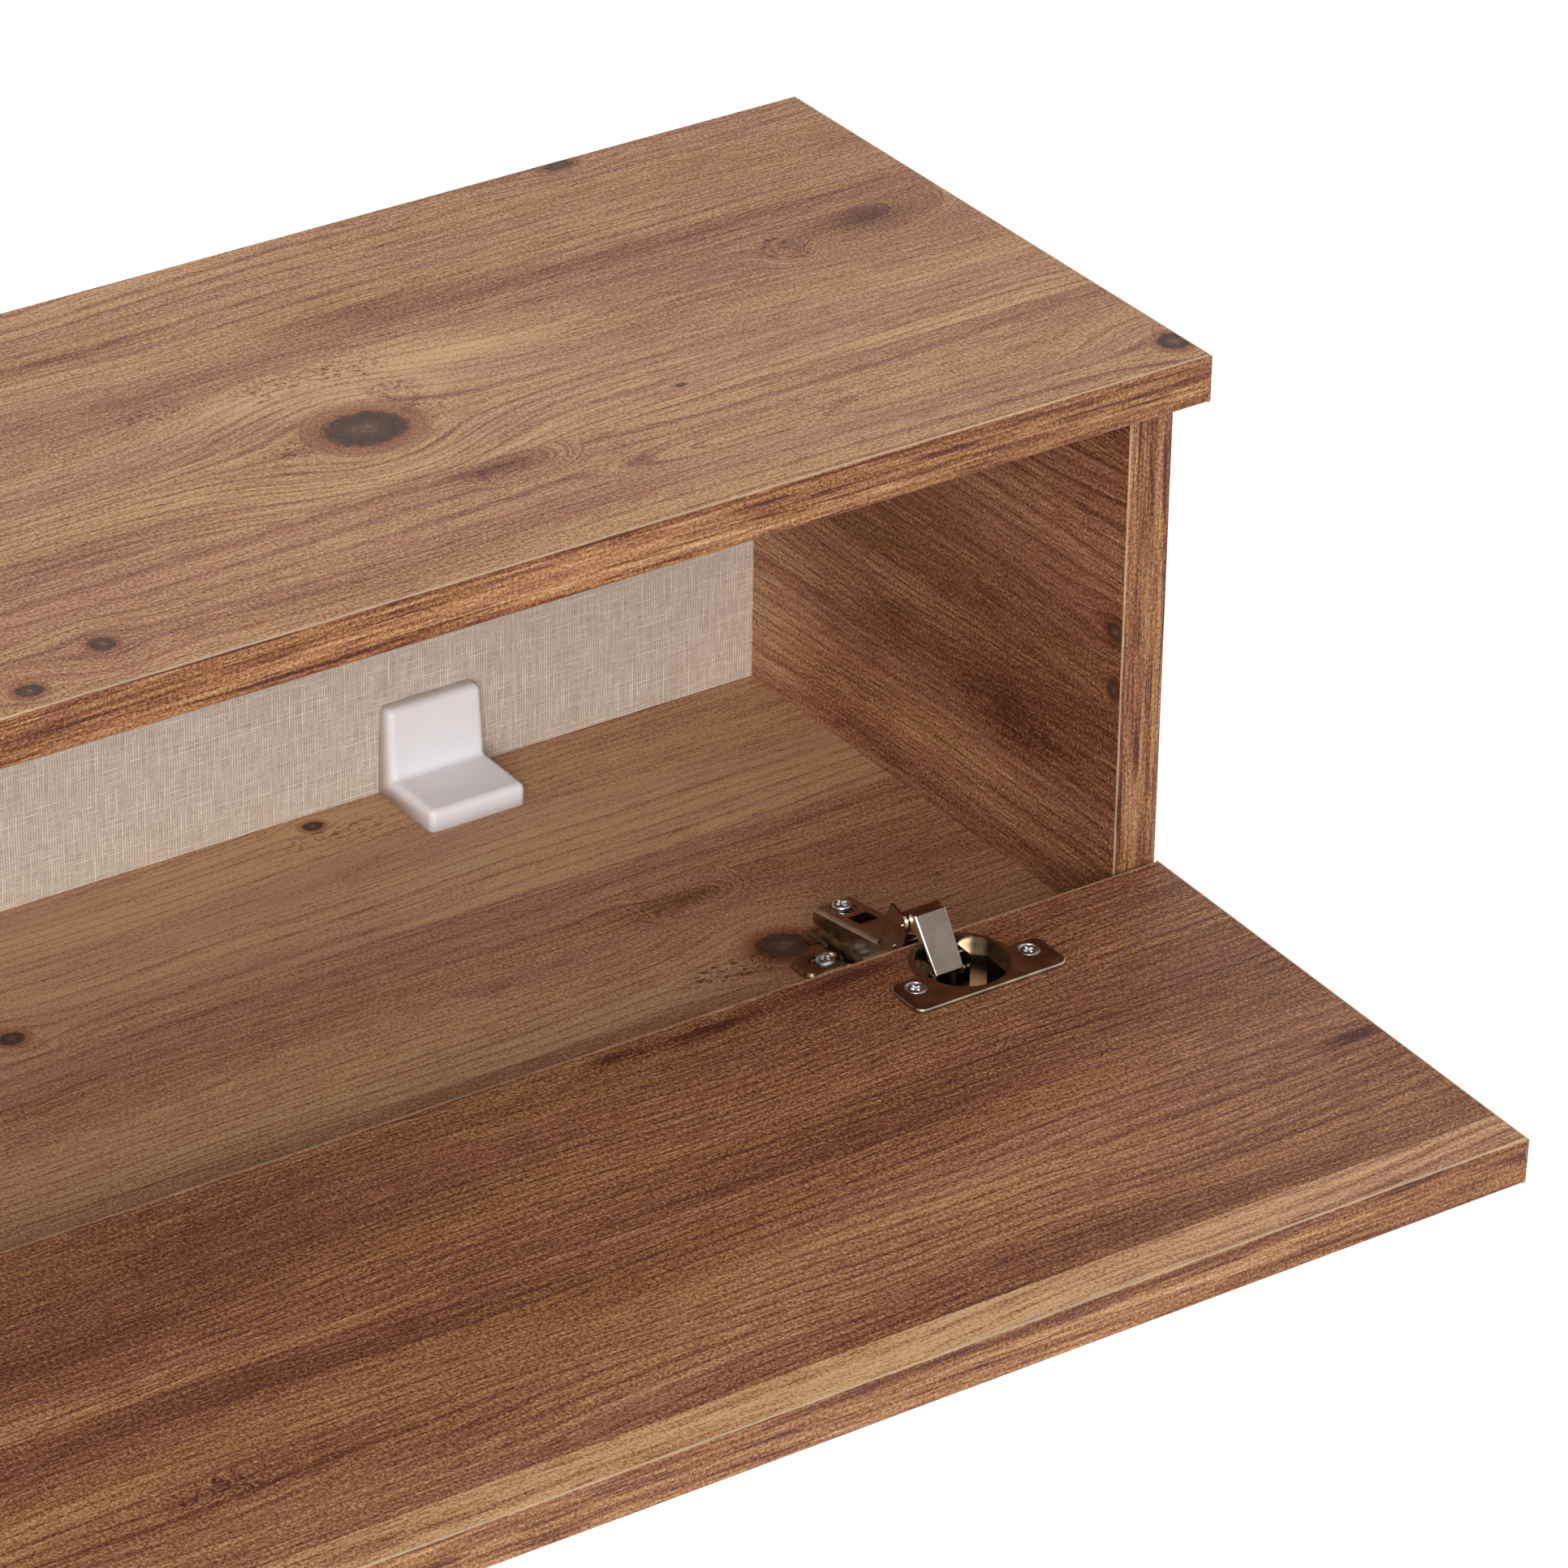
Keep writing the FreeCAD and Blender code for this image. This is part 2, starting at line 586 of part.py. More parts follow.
def taper_wedges(x, top_z, foot_z):
    """What is cut away from both sides of the cover link to taper it from its top to its foot."""
    wedges = []
    for side in (-1, 1):
        wide, narrow = x + side * COVER_HALF_WIDTH_TOP, x + side * COVER_HALF_WIDTH_END
        out = x + side * ARM_HALF_WIDTH
        corners = [V(side_x, SIDE_FRONT - BOARD, z)
                   for side_x, z in ((wide, top_z), (narrow, foot_z), (out, foot_z), (out, top_z))]
        wedges.append(Part.Face(Part.makePolygon(corners + corners[:1])).extrude(V(0, 2 * BOARD, 0)))
    return wedges


def cover_link(x):
    """The link that shows: a tapered channel rolled over at the top, on its two pins."""
    back, top, foot = at_front(*COVER_LINE)
    plate = bent_strip([back, top, foot], LINK_SHEET, x - COVER_HALF_WIDTH_TOP, x + COVER_HALF_WIDTH_TOP)
    arm_y, arm_z = COVER_ARM.y, COVER_ARM.z
    cup_y, cup_z = COVER_CUP.y, COVER_CUP.z
    outline = [back, top, foot, (cup_y - PIN_R, cup_z - CUP_EYE - PIN_R / 2),
               (cup_y + PIN_R, cup_z + PIN_R / 2)]
    outline += at_front(*COVER_CHEEK) + [(arm_y, arm_z - ARM_EYE - PIN_R), (arm_y + PIN_R, arm_z),
                                        (arm_y - 2 * PIN_R, arm_z + 2 * PIN_R)]
    near = COVER_HALF_WIDTH_END - LINK_SHEET
    link = plate
    for side in (-1, 1):
        x0, x1 = sorted((x + side * COVER_HALF_WIDTH_TOP, x + side * near))
        link = link.fuse([side_view(outline, x0, x1), eye(COVER_ARM, PIN_R + ARM_EYE, x0, x1)])
    link = link.cut(taper_wedges(x, top[1] + LINK_SHEET, foot[1] - CUP_EYE)).removeSplitter()
    bend = V(0, top[0], top[1])
    fold = V(0, foot[0], foot[1]) - bend
    fold.normalize()
    face = V(0, fold.z, -fold.y)

    def on_face(edge):
        from_face = (edge.CenterOfMass - bend).dot(face)
        run = edge.tangentAt(edge.FirstParameter)
        return abs(from_face - LINK_SHEET / 2) < 0.02 and abs(run.dot(fold)) > 0.99

    link = rounded(link, COVER_EDGE_R, on_face)
    for side in (-1, 1):
        stub = [x + side * near, x + side * (COVER_HALF_WIDTH_TOP + STUB_REACH)]
        link = link.fuse(eye(COVER_CUP, PIN_R, min(stub), max(stub)))
    return link.cut(eye(COVER_ARM, PIN_R + PIN_FIT, x - ARM_HALF_WIDTH, x + ARM_HALF_WIDTH)).removeSplitter()


def slot_cutter(x, spots, radius, z0, z1):
    """A slot along Y between two spots, cut from z0 up to z1."""
    rear, front = [SIDE_FRONT + spot for spot in spots]
    ends = [rod(radius, V(x, y, z0), V(x, y, z1)) for y in (rear, front)]
    return ends[0].fuse([ends[1], box(x - radius, x + radius, front, rear, z0, z1)])


def arm_channel(x):
    """The straight part of the arm: a channel with rounded folds along its sloping roof."""
    half, sheet = ARM_HALF_WIDTH, ARM_SHEET
    middle = SIDE_FRONT + (ARM_REAR + ARM_ROOF_FRONT) / 2
    outer = at_front((ARM_REAR, ARM_BOTTOM), (ARM_REAR, ARM_REAR_HEIGHT),
                     (ARM_ROOF_FRONT, ARM_FRONT_HEIGHT), (ARM_ROOF_FRONT, ARM_BOTTOM))
    inner = at_front((ARM_REAR, 0), (ARM_REAR, ARM_REAR_HEIGHT - sheet),
                     (ARM_ROOF_FRONT, ARM_FRONT_HEIGHT - sheet), (ARM_ROOF_FRONT, 0))
    channel = side_view(outer, x - half, x + half)
    channel = rounded(channel, ARM_FOLD_R, lambda e: abs(e.CenterOfMass.y - middle) < 0.01
                      and e.CenterOfMass.z > FLOOR + ARM_REAR_HEIGHT)
    return channel.cut(side_view(inner, x - half + sheet, x + half - sheet))


def arm_cheeks(x):
    """The two upright plates at the front of the arm, with rounded noses, and the bridge that ties them."""
    half, sheet = ARM_HALF_WIDTH, ARM_SHEET
    (nose_y, nose_z), = at_front(ARM_NOSE)
    plates = []
    for side in (-1, 1):
        x0, x1 = sorted((x + side * half, x + side * (half - sheet)))
        plate = side_view(at_front(*ARM_GUSSET, ARM_NOSE, *ARM_CHIN), x0, x1)
        plate = rounded(plate, ARM_NOSE_R, lambda e: along_x(e) and abs(e.CenterOfMass.y - nose_y) < 0.01
                        and abs(e.CenterOfMass.z - nose_z) < 0.01)
        plates.append(plate)
    bridge = box(x - half, x + half, SIDE_FRONT + ARM_BRIDGE[0], SIDE_FRONT + ARM_BRIDGE[1],
                 FLOOR + ARM_NOSE[1] - sheet, FLOOR + ARM_NOSE[1])
    return plates + [bridge]


def arm(x):
    """The cranked arm: a pressed channel whose cheeks rise at the front to carry both arm pivots."""
    solid = arm_channel(x).fuse(arm_cheeks(x))
    rivet_half = ARM_HALF_WIDTH + RIVET
    rivets = [eye(pivot, PIN_R, x - rivet_half, x + rivet_half) for pivot in (CARRIER_ARM, COVER_ARM)]
    solid = solid.fuse(rivets)
    top = FLOOR + ARM_FRONT_HEIGHT
    slot = slot_cutter(x, ARM_SLOT, ARM_SLOT_R, FLOOR + RIDGE_TOP, top)
    recess = slot_cutter(x, ARM_SLOT, ARM_RECESS_R, FLOOR, top)
    recess = recess.cut(arm_roof_block(x, ARM_RECESS))
    window = box(x - WINDOW_HALF_WIDTH, x + WINDOW_HALF_WIDTH, SIDE_FRONT + WINDOW[0], SIDE_FRONT + WINDOW[1],
                 FLOOR + RIDGE_TOP, top)
    return solid.cut([slot, recess, window]).removeSplitter()


def arm_roof_block(x, depth):
    """All that lies more than depth below the top of the arm's roof."""
    outline = at_front((ARM_REAR, -BOARD), (ARM_REAR, ARM_REAR_HEIGHT - depth),
                       (ARM_ROOF_FRONT, ARM_FRONT_HEIGHT - depth), (ARM_ROOF_FRONT, -BOARD))
    return side_view(outline, x - ARM_HALF_WIDTH, x + ARM_HALF_WIDTH)


def plate_layer(x, inset, z0, z1):
    """One layer of the wing plate: its two wings and its spine, cut in by inset all round."""
    y = SIDE_FRONT + PLATE_SETBACK
    half, wing = PLATE_HALF_SPAN - inset, PLATE_WING / 2 - inset
    wings = rounded(box(x - half, x + half, y - wing, y + wing, z0, z1), WING_CORNER, along_z)
    spine = PLATE_SPINE - inset
    front, rear = SIDE_FRONT + PLATE_FRONT, SIDE_FRONT + ARM_REAR + PLATE_PAST_ARM
    body = wings.fuse(box(x - spine, x + spine, front, rear, z0, z1))

    def in_neck(edge):
        from_middle = abs(edge.CenterOfMass.x - x), abs(edge.CenterOfMass.y - y)
        return along_z(edge) and abs(from_middle[0] - spine) < 0.01 and abs(from_middle[1] - wing) < 0.01

    return rounded(body.removeSplitter(), NECK_R, in_neck)


def plate_slot(x, radius, z0, z1):
    reach = PLATE_SLOT / 2 - SCREW_R - SCREW_FIT
    y = SIDE_FRONT + PLATE_SETBACK
    ends = [rod(radius, V(x + turn * reach, y, z0), V(x + turn * reach, y, z1)) for turn in (-1, 1)]
    return ends[0].fuse([ends[1], box(x - reach, x + reach, y - radius, y + radius, z0, z1)])


def mounting_plate(x):
    """A wing plate pressed from two layers, with the ridge that the arm straddles."""
    top = FLOOR + PLATE_SHEET
    middle = FLOOR + PLATE_BASE
    plate = plate_layer(x, 0, FLOOR, middle).fuse(plate_layer(x, PLATE_STEP, middle, top))
    for side in (-1, 1):
        tail = SIDE_FRONT + ARM_REAR - TAIL_LENGTH
        x0, x1 = sorted((x + side * PLATE_SPINE, x + side * (PLATE_SPINE + TAIL_REACH)))
        plate = plate.fuse(box(x0, x1, tail, tail + TAIL_LENGTH / 2, FLOOR, FLOOR + PLATE_BASE))
    ridge = box(x - RIDGE_HALF_WIDTH, x + RIDGE_HALF_WIDTH, SIDE_FRONT + PLATE_FRONT + RIDGE_INSET,
                SIDE_FRONT + ARM_REAR + PLATE_PAST_ARM - RIDGE_INSET, FLOOR, FLOOR + RIDGE_TOP)
    ridge = rounded(ridge, RIDGE_ROUND, lambda e: along_y(e) and e.CenterOfMass.z > middle)
    plate = plate.fuse(ridge)
    cuts = [rod(ARM_SCREW_R + THREAD_FIT, V(x, SIDE_FRONT + ARM_SCREW_AT, FLOOR),
                V(x, SIDE_FRONT + ARM_SCREW_AT, FLOOR + RIDGE_TOP))]
    for side in (-1, 1):
        screw_x = x + side * PLATE_SCREW_PITCH / 2
        cuts += [plate_slot(screw_x, SCREW_R + SCREW_FIT, FLOOR, top),
                 plate_slot(screw_x, SCREW_HEAD_R, middle, top)]
    return plate.cut(cuts).removeSplitter()


def plate_screws(x):
    """Pan-head screws that bear on the lower layer of the wings, in the middle of their slots."""
    seat = PLATE_SCREW_LENGTH
    base = V(0, SIDE_FRONT + PLATE_SETBACK, FLOOR + PLATE_BASE - seat)
    head = SCREW_HEAD_R - SCREW_SHADOW
    profile = ((0, SCREW_TIP_R), (SCREW_TIP, SCREW_R), (seat, SCREW_R), (seat, head),
               (seat + PAN_HEAD / 2, head), (seat + PAN_HEAD, head - PAN_HEAD / 2))
    return [turned(profile, base + V(x + side * PLATE_SCREW_PITCH / 2, 0, 0), V(0, 0, 1)) for side in (-1, 1)]


def roof_height(back):
    """Height of the arm's sloping roof above the floor, at a distance back from the sides' fronts."""
    slope = (ARM_FRONT_HEIGHT - ARM_REAR_HEIGHT) / (ARM_REAR - ARM_ROOF_FRONT)
    return ARM_REAR_HEIGHT + slope * (ARM_REAR - back)


def arm_screw(x):
    """The fixing screw: its thread stands in the ridge and its head bears in the roof's recess."""
    bearing = math.sqrt(ARM_SCREW_HEAD_R**2 - ARM_SLOT_R**2)
    seat = roof_height(ARM_SCREW_AT - bearing) - ARM_RECESS + JOINERY_FIT
    foot = PLATE_SHEET + ARM_SCREW_FOOT
    reach, crown = seat - foot, seat - foot + ARM_SCREW_HEAD
    profile = ((0, ARM_SCREW_R), (reach, ARM_SCREW_R), (reach, ARM_SCREW_HEAD_R),
               (crown - ARM_SCREW_CHAMFER, ARM_SCREW_HEAD_R), (crown, ARM_SCREW_HEAD_R - ARM_SCREW_CHAMFER))
    return turned(profile, V(x, SIDE_FRONT + ARM_SCREW_AT, FLOOR + foot), V(0, 0, 1))


def build_hinges():
    for name, x in HINGE_XS.items():
        export(f"{name}_hinge_cup", open_flap(cup(x)))
        export(f"{name}_carrier_link", carrier_link(x))
        export(f"{name}_cover_link", cover_link(x))
        export(f"{name}_hinge_arm", arm(x))
        export(f"{name}_mounting_plate", mounting_plate(x))
    xs = list(HINGE_XS.values())
    export("plate_screws", *[s for x in xs for s in plate_screws(x)])
    export("arm_screws", *[arm_screw(x) for x in xs])
    half = CUP_SCREW_SPAN / 2
    export("left_cup_screws", *[open_flap(cup_screw(x + s * half)) for x in xs[:2] for s in (-1, 1)])
    export("right_cup_screws", *[open_flap(cup_screw(x + s * half)) for x in xs[2:] for s in (-1, 1)])


build_carcass()
build_carcass_bands()
build_back()
build_flap("left", -1, [HINGE_XS["left_outer"], HINGE_XS["left_inner"]])
build_flap("right", 1, [HINGE_XS["right_inner"], HINGE_XS["right_outer"]])
build_hinges()
for label, point in (("carrier arm", CARRIER_ARM), ("carrier cup", CARRIER_CUP),
                     ("cover arm", COVER_ARM), ("cover cup", COVER_CUP)):
    print(label, round(point.y, 4), round(point.z, 4))
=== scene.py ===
import json
import math

import bpy
import numpy as np
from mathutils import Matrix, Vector


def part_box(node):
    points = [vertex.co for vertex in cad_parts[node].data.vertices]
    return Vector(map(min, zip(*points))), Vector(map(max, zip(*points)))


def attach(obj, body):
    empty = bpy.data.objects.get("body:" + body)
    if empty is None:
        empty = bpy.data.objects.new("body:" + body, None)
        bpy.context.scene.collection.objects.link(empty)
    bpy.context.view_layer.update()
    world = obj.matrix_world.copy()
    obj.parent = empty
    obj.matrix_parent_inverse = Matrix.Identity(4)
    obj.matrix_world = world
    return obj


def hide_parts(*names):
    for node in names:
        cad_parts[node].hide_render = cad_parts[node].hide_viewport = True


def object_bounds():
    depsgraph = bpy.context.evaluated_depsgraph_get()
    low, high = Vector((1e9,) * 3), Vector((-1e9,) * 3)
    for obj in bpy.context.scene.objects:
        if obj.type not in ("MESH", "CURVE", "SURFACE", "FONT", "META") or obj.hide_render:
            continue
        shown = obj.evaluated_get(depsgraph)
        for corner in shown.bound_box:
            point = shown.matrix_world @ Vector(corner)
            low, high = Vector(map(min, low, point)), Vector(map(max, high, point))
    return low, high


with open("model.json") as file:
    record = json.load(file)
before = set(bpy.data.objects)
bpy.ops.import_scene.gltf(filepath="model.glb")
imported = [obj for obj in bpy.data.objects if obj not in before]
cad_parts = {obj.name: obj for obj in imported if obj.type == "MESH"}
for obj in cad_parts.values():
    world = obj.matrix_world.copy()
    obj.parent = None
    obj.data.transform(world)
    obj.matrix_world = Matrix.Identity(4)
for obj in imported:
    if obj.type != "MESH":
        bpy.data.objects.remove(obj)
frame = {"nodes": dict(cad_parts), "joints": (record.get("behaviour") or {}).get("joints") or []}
nodes = frame["nodes"]
cad_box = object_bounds()


# Boards
# The top, bottom, uprights and flaps are 18 mm particle board faced with melamine paper. The paper is
# printed as knotty pine laid up in staves and pressed between embossed plates, which leaves a fine
# broken grain in the surface. The grain runs along each board.


def paint(red, green, blue):
    """A colour as a swatch card gives it, 0 to 255, turned into the linear light that a shader takes."""
    shares = np.array([red, green, blue]) / 255.0
    linear = np.where(shares <= 0.04045, shares / 12.92, ((shares + 0.055) / 1.055) ** 2.4)
    return (*linear.tolist(), 1.0)


class Finish:
    """One surface finish: a material drawn by nodes, in metres on the piece that wears it."""

    def __init__(self, name, **sockets):
        self.material = bpy.data.materials.new(name)
        self.material.use_nodes = True
        self.tree = self.material.node_tree
        self.shader = self.tree.nodes["Principled BSDF"]
        for key, value in sockets.items():
            self.shader.inputs[key.replace("_", " ")].default_value = value
        self.place = self.add("TexCoord", {}, "Object")

    def add(self, kind, sockets, out=0, **settings):
        """Adds a node, fills its sockets with numbers or other nodes' outputs, and gives one output."""
        node = self.tree.nodes.new("ShaderNode" + kind)
        for key, value in settings.items():
            setattr(node, key, value)
        for key, value in sockets.items():
            if isinstance(value, bpy.types.NodeSocket):
                self.tree.links.new(value, node.inputs[key])
            else:
                node.inputs[key].default_value = value
        return node.outputs[out]

    def calc(self, operation, *values):
        return self.add("Math", dict(enumerate(values)), operation=operation)

    def vector(self, operation, *values):
        out = 1 if operation in ("DOT_PRODUCT", "LENGTH") else 0
        return self.add("VectorMath", dict(enumerate(values)), out, operation=operation)

    def axis(self, place, letter):
        return self.add("SeparateXYZ", {0: place}, "XYZ".index(letter))

    def point(self, x, y, z):
        return self.add("CombineXYZ", {0: x, 1: y, 2: z})

    def spread(self, value, low, high, to_low=0.0, to_high=1.0):
        """Carries value from low..high to to_low..to_high, eased at both ends and held beyond them."""
        sockets = {"Value": value, "From Min": low, "From Max": high, "To Min": to_low, "To Max": to_high}
        return self.add("MapRange", sockets, interpolation_type="SMOOTHSTEP")

    def noise(self, place, stretch, detail=2.0, roughness=0.5, distortion=0.0):
        """Noise between 0 and 1, with stretch waves to the metre along each axis."""
        wide = self.vector("MULTIPLY", place, stretch)
        sockets = {"Vector": wide, "Scale": 1.0, "Detail": detail, "Roughness": roughness,
                   "Distortion": distortion}
        return self.add("TexNoise", sockets, "Fac")

    def sway(self, value, size):
        """A noise value turned into a push either way, size at the most."""
        return self.calc("MULTIPLY_ADD", value, 2 * size, -size)

    def total(self, *values):
        """The sum of values."""
        added = values[0]
        for value in values[1:]:
            added = self.calc("ADD", added, value)
        return added

    def mix(self, share, first, second, blend="MIX"):
        return self.add("Mix", {0: share, 6: first, 7: second}, 2, data_type="RGBA", blend_type=blend)

    def ramp(self, value, stops):
        """The colours of stops, each (place, colour), blended along value."""
        colour = self.add("ValToRGB", {0: value})
        ramp = colour.node.color_ramp
        for spot, _ in stops[2:]:
            ramp.elements.new(spot)
        for element, (spot, shade) in zip(ramp.elements, stops):
            element.position, element.color = spot, shade
        return colour

    def relief(self, height, distance, strength=1.0):
        """Height between 0 and 1 shown as a bump of that distance in metres."""
        bump = self.add("Bump", {"Height": height, "Distance": distance, "Strength": strength})
        self.tree.links.new(bump, self.shader.inputs["Normal"])

    def feed(self, **sockets):
        for key, value in sockets.items():
            self.tree.links.new(value, self.shader.inputs[key.replace("_", " ")])

    def wear(self, *names):
        """Puts the finish on CAD nodes."""
        for name in names:
            nodes[name].data.materials.clear()
            nodes[name].data.materials.append(self.material)


PINE = [(0.0, paint(72, 32, 14)), (0.25, paint(114, 66, 34)), (0.5, paint(150, 103, 65)),
        (0.75, paint(178, 134, 93)), (1.0, paint(202, 164, 120))]
ROSE = [(0.0, paint(66, 27, 16)), (0.25, paint(106, 57, 36)), (0.5, paint(140, 90, 65)),
        (0.75, paint(166, 118, 90)), (1.0, paint(188, 146, 116))]
KNOT = [(0.0, paint(136, 96, 74)), (0.3, paint(124, 86, 64)), (0.5, paint(90, 62, 46)),
        (0.85, paint(76, 50, 37)), (1.0, paint(104, 66, 44))]
STAVE = 0.0948


def printed_pine(name, grain, seed, tone=0.5, blush=0.0, first_joint=0.0, knots=(), swirls=(),
                 patches_and_painted_light=(), flecks=(), place=None):
    """Knotty pine print. grain names the axes along and across it, first_joint is where one joint
    between staves lies across it, and blush turns more of the print from golden to rosy. Knots
    (along, across, half length, half width) push the growth rings of their stave aside. Swirls are
    rings that turn back on themselves, their bow at the side that the sign of the half length gives.
    A patch (..., depth) dims the print there, or lights it below zero. Some patches are marks in the print;
    others are painted shade and painted light where the compartment is lit unevenly. Flecks (along, across,
    half length, half width) are torn bark."""
    finish = Finish(name, Specular_IOR_Level=0.2)
    at = finish.place if place is None else place(finish)
    along = finish.axis(at, grain[0])
    across = finish.axis(at, grain[1])
    flat = finish.point(along, across, 0.0)
    lines = finish.calc("DIVIDE", finish.calc("SUBTRACT", across, first_joint), STAVE)
    stave = finish.calc("FLOOR", lines)

    def from_spot(u, v, long, wide):
        """The way from a spot, in half lengths and half widths, and its square."""
        off = finish.vector("SUBTRACT", flat, (u, v, 0.0))
        off = finish.vector("MULTIPLY", off, (1 / long, 1 / wide, 0.0))
        return off, finish.vector("DOT_PRODUCT", off, off)

    def same_stave(v, share):
        """Share within the stave that v lies on, and nothing on the others."""
        return finish.calc("MULTIPLY", share,
                           finish.calc("COMPARE", stave, math.floor((v - first_joint) / STAVE), 0.5))

    def ringed(bent, reach, share, v, wide):
        """Turns share of the lines into close rings round a spot, reach half widths from it."""
        rings = finish.calc("MULTIPLY_ADD", reach, 2.5 * wide, v)
        return finish.add("Mix", {0: same_stave(v, share), 2: bent, 3: rings}, data_type="FLOAT")

    stave_seed = finish.calc("ADD", stave, seed)
    lot = finish.add("TexWhiteNoise", {"W": stave_seed}, "Color", noise_dimensions="1D")
    lot_tone, lot_shift, lot_rings = (finish.axis(lot, letter) for letter in "XYZ")
    layer = finish.calc("MULTIPLY_ADD", lot_shift, 40.0, seed)

    wander = finish.noise(finish.point(along, across, layer), (3.5, 12.0, 1.0), 2.0)
    bent = finish.calc("ADD", across, finish.sway(wander, 0.014))
    nearest = finish.calc("ADD", 99.0, 0.0)
    ragged = finish.sway(finish.noise(flat, (260, 320, 1), 3.0, 0.65), 0.28)
    for u, v, long, wide in knots:
        off, square = from_spot(u, v, long, wide)
        swing = same_stave(v, finish.calc("EXPONENT", finish.calc("MULTIPLY", square, -0.09)))
        push = finish.calc("MULTIPLY", finish.axis(off, "Y"), wide)
        bent = finish.calc("SUBTRACT", bent, finish.calc("MULTIPLY", push, swing))
        reach = finish.calc("SQRT", square)
        bent = ringed(bent, reach, finish.spread(reach, 1.6, 1.1), v, wide)
        nearest = finish.calc("MINIMUM", nearest, finish.calc("ADD", reach, ragged))
    for u, v, long, wide in swirls:
        off = from_spot(u, v, long, wide)[0]
        bow = finish.calc("MAXIMUM", finish.axis(off, "X"), 0.0)
        side = finish.axis(off, "Y")
        turn = finish.calc("SQRT", finish.calc("ADD", finish.calc("MULTIPLY", bow, bow),
                                               finish.calc("MULTIPLY", side, side)))
        tail = finish.spread(finish.axis(off, "X"), -2.6, -0.8)
        bent = ringed(bent, turn, finish.calc("MULTIPLY", finish.spread(turn, 2.2, 1.1), tail), v, wide)
    lie = finish.point(along, bent, layer)

    broad = finish.noise(lie, (3.0, 20.0, 1.0), 2.0, 0.5)
    streak = finish.noise(lie, (9.0, 170.0, 1.0), 3.0, 0.7)
    fibre = finish.noise(lie, (70.0, 1000.0, 1.0), 2.0, 0.7)
    peel = finish.noise(flat, (760.0, 900.0, 1.0), 3.0, 0.9)
    jitter = finish.sway(finish.noise(lie, (60.0, 500.0, 1.0), 2.0), 0.12)

    def growth(pitch, drift, gaps, start, width):
        """Rings that darken from start to a sharp outer edge, fading in and out along the board."""
        spacing = finish.sway(finish.noise(lie, (0.7, drift, 1.0), 2.0), 2.0)
        ring = finish.calc("FRACT", finish.total(finish.calc("MULTIPLY", bent, pitch), spacing, jitter))
        line = finish.calc("MULTIPLY", finish.spread(ring, start, 1.0 - width),
                           finish.spread(ring, 1.0, 1.0 - width / 2))
        shown = finish.spread(finish.noise(lie, gaps, 2.0), 0.3, 0.6, 0.2, 1.0)
        return finish.calc("MULTIPLY", line, shown)

    wide_pitch = finish.calc("MULTIPLY_ADD", lot_rings, 110.0, 130.0)
    fine_pitch = finish.calc("MULTIPLY_ADD", lot_rings, -120.0, 430.0)
    wide_rings = growth(wide_pitch, 26.0, (3.0, 18.0, 1.0), 0.62, 0.1)
    fine_rings = growth(fine_pitch, 50.0, (4.0, 26.0, 3.0), 0.45, 0.25)
    dash = finish.spread(finish.noise(lie, (60.0, 1000.0, 1.0), 1.0), 0.68, 0.78)
    late = finish.calc("MAXIMUM", wide_rings, finish.calc("MULTIPLY", fine_rings, 0.42))
    seam = finish.calc("PINGPONG", lines, 0.5)

    shade = finish.total(
        finish.calc("MULTIPLY_ADD", lot_tone, 0.1, tone - 0.03),
        finish.sway(broad, 0.34), finish.sway(streak, 0.22),
        finish.sway(fibre, 0.4), finish.sway(peel, 1.4),
        finish.calc("MULTIPLY", late, -0.23), finish.calc("MULTIPLY", dash, -0.3),
        finish.spread(seam, 0.0055, 0.002, 0.0, -0.14))
    # Patches: dark and light marks of the print, and on some boards painted shade and painted light.
    for u, v, long, wide, depth in patches_and_painted_light:
        dim = finish.calc("EXPONENT", finish.calc("MULTIPLY", from_spot(u, v, long, wide)[1], -1.0))
        dim = finish.calc("MULTIPLY", same_stave(v, dim), finish.spread(streak, 0.25, 0.6, 0.4, 1.2))
        shade = finish.calc("MULTIPLY_ADD", dim, -depth, shade)
    crumb = finish.spread(finish.noise(flat, (330.0, 420.0, 1.0), 4.0, 0.75, 1.0), 0.53, 0.58)
    for u, v, long, wide in flecks:
        patch = same_stave(v, finish.spread(from_spot(u, v, long, wide)[1], 1.6, 0.3))
        shade = finish.calc("MULTIPLY_ADD", finish.calc("MULTIPLY", patch, crumb), -0.6, shade)

    rosy = finish.noise(lie, (4.0, 34.0, 1.0), 3.0, 0.6)
    rosy = finish.total(rosy, finish.calc("MULTIPLY", late, 0.2),
                        finish.calc("MULTIPLY_ADD", shade, -0.3, 0.3 * tone + blush))
    rosy = finish.spread(rosy, 0.39, 0.66)
    wood = finish.mix(rosy, finish.ramp(shade, PINE), finish.ramp(shade, ROSE))
    crack = finish.noise(flat, (700.0, 900.0, 1.0), 3.0, 0.75, 1.4)
    heart = finish.ramp(finish.calc("ADD", nearest, finish.sway(crack, 0.9)), KNOT)
    heart = finish.mix(finish.spread(crack, 0.53, 0.46, 0.0, 0.85), heart, paint(50, 31, 22))
    stain = finish.spread(nearest, 2.0, 1.0, 0.0, 0.6)
    wood = finish.mix(stain, wood, paint(190, 136, 112), "MULTIPLY")
    wood = finish.mix(finish.spread(nearest, 1.1, 0.92), wood, heart)
    finish.feed(Base_Color=wood)
    finish.feed(Roughness=finish.total(finish.sway(streak, 0.07), finish.sway(peel, 0.12), 0.44))
    emboss = finish.total(finish.calc("MULTIPLY", peel, 0.9), finish.calc("MULTIPLY", fibre, 0.4),
                          finish.calc("MULTIPLY", dash, -0.4))
    finish.relief(emboss, 0.0008, 0.8)
    return finish


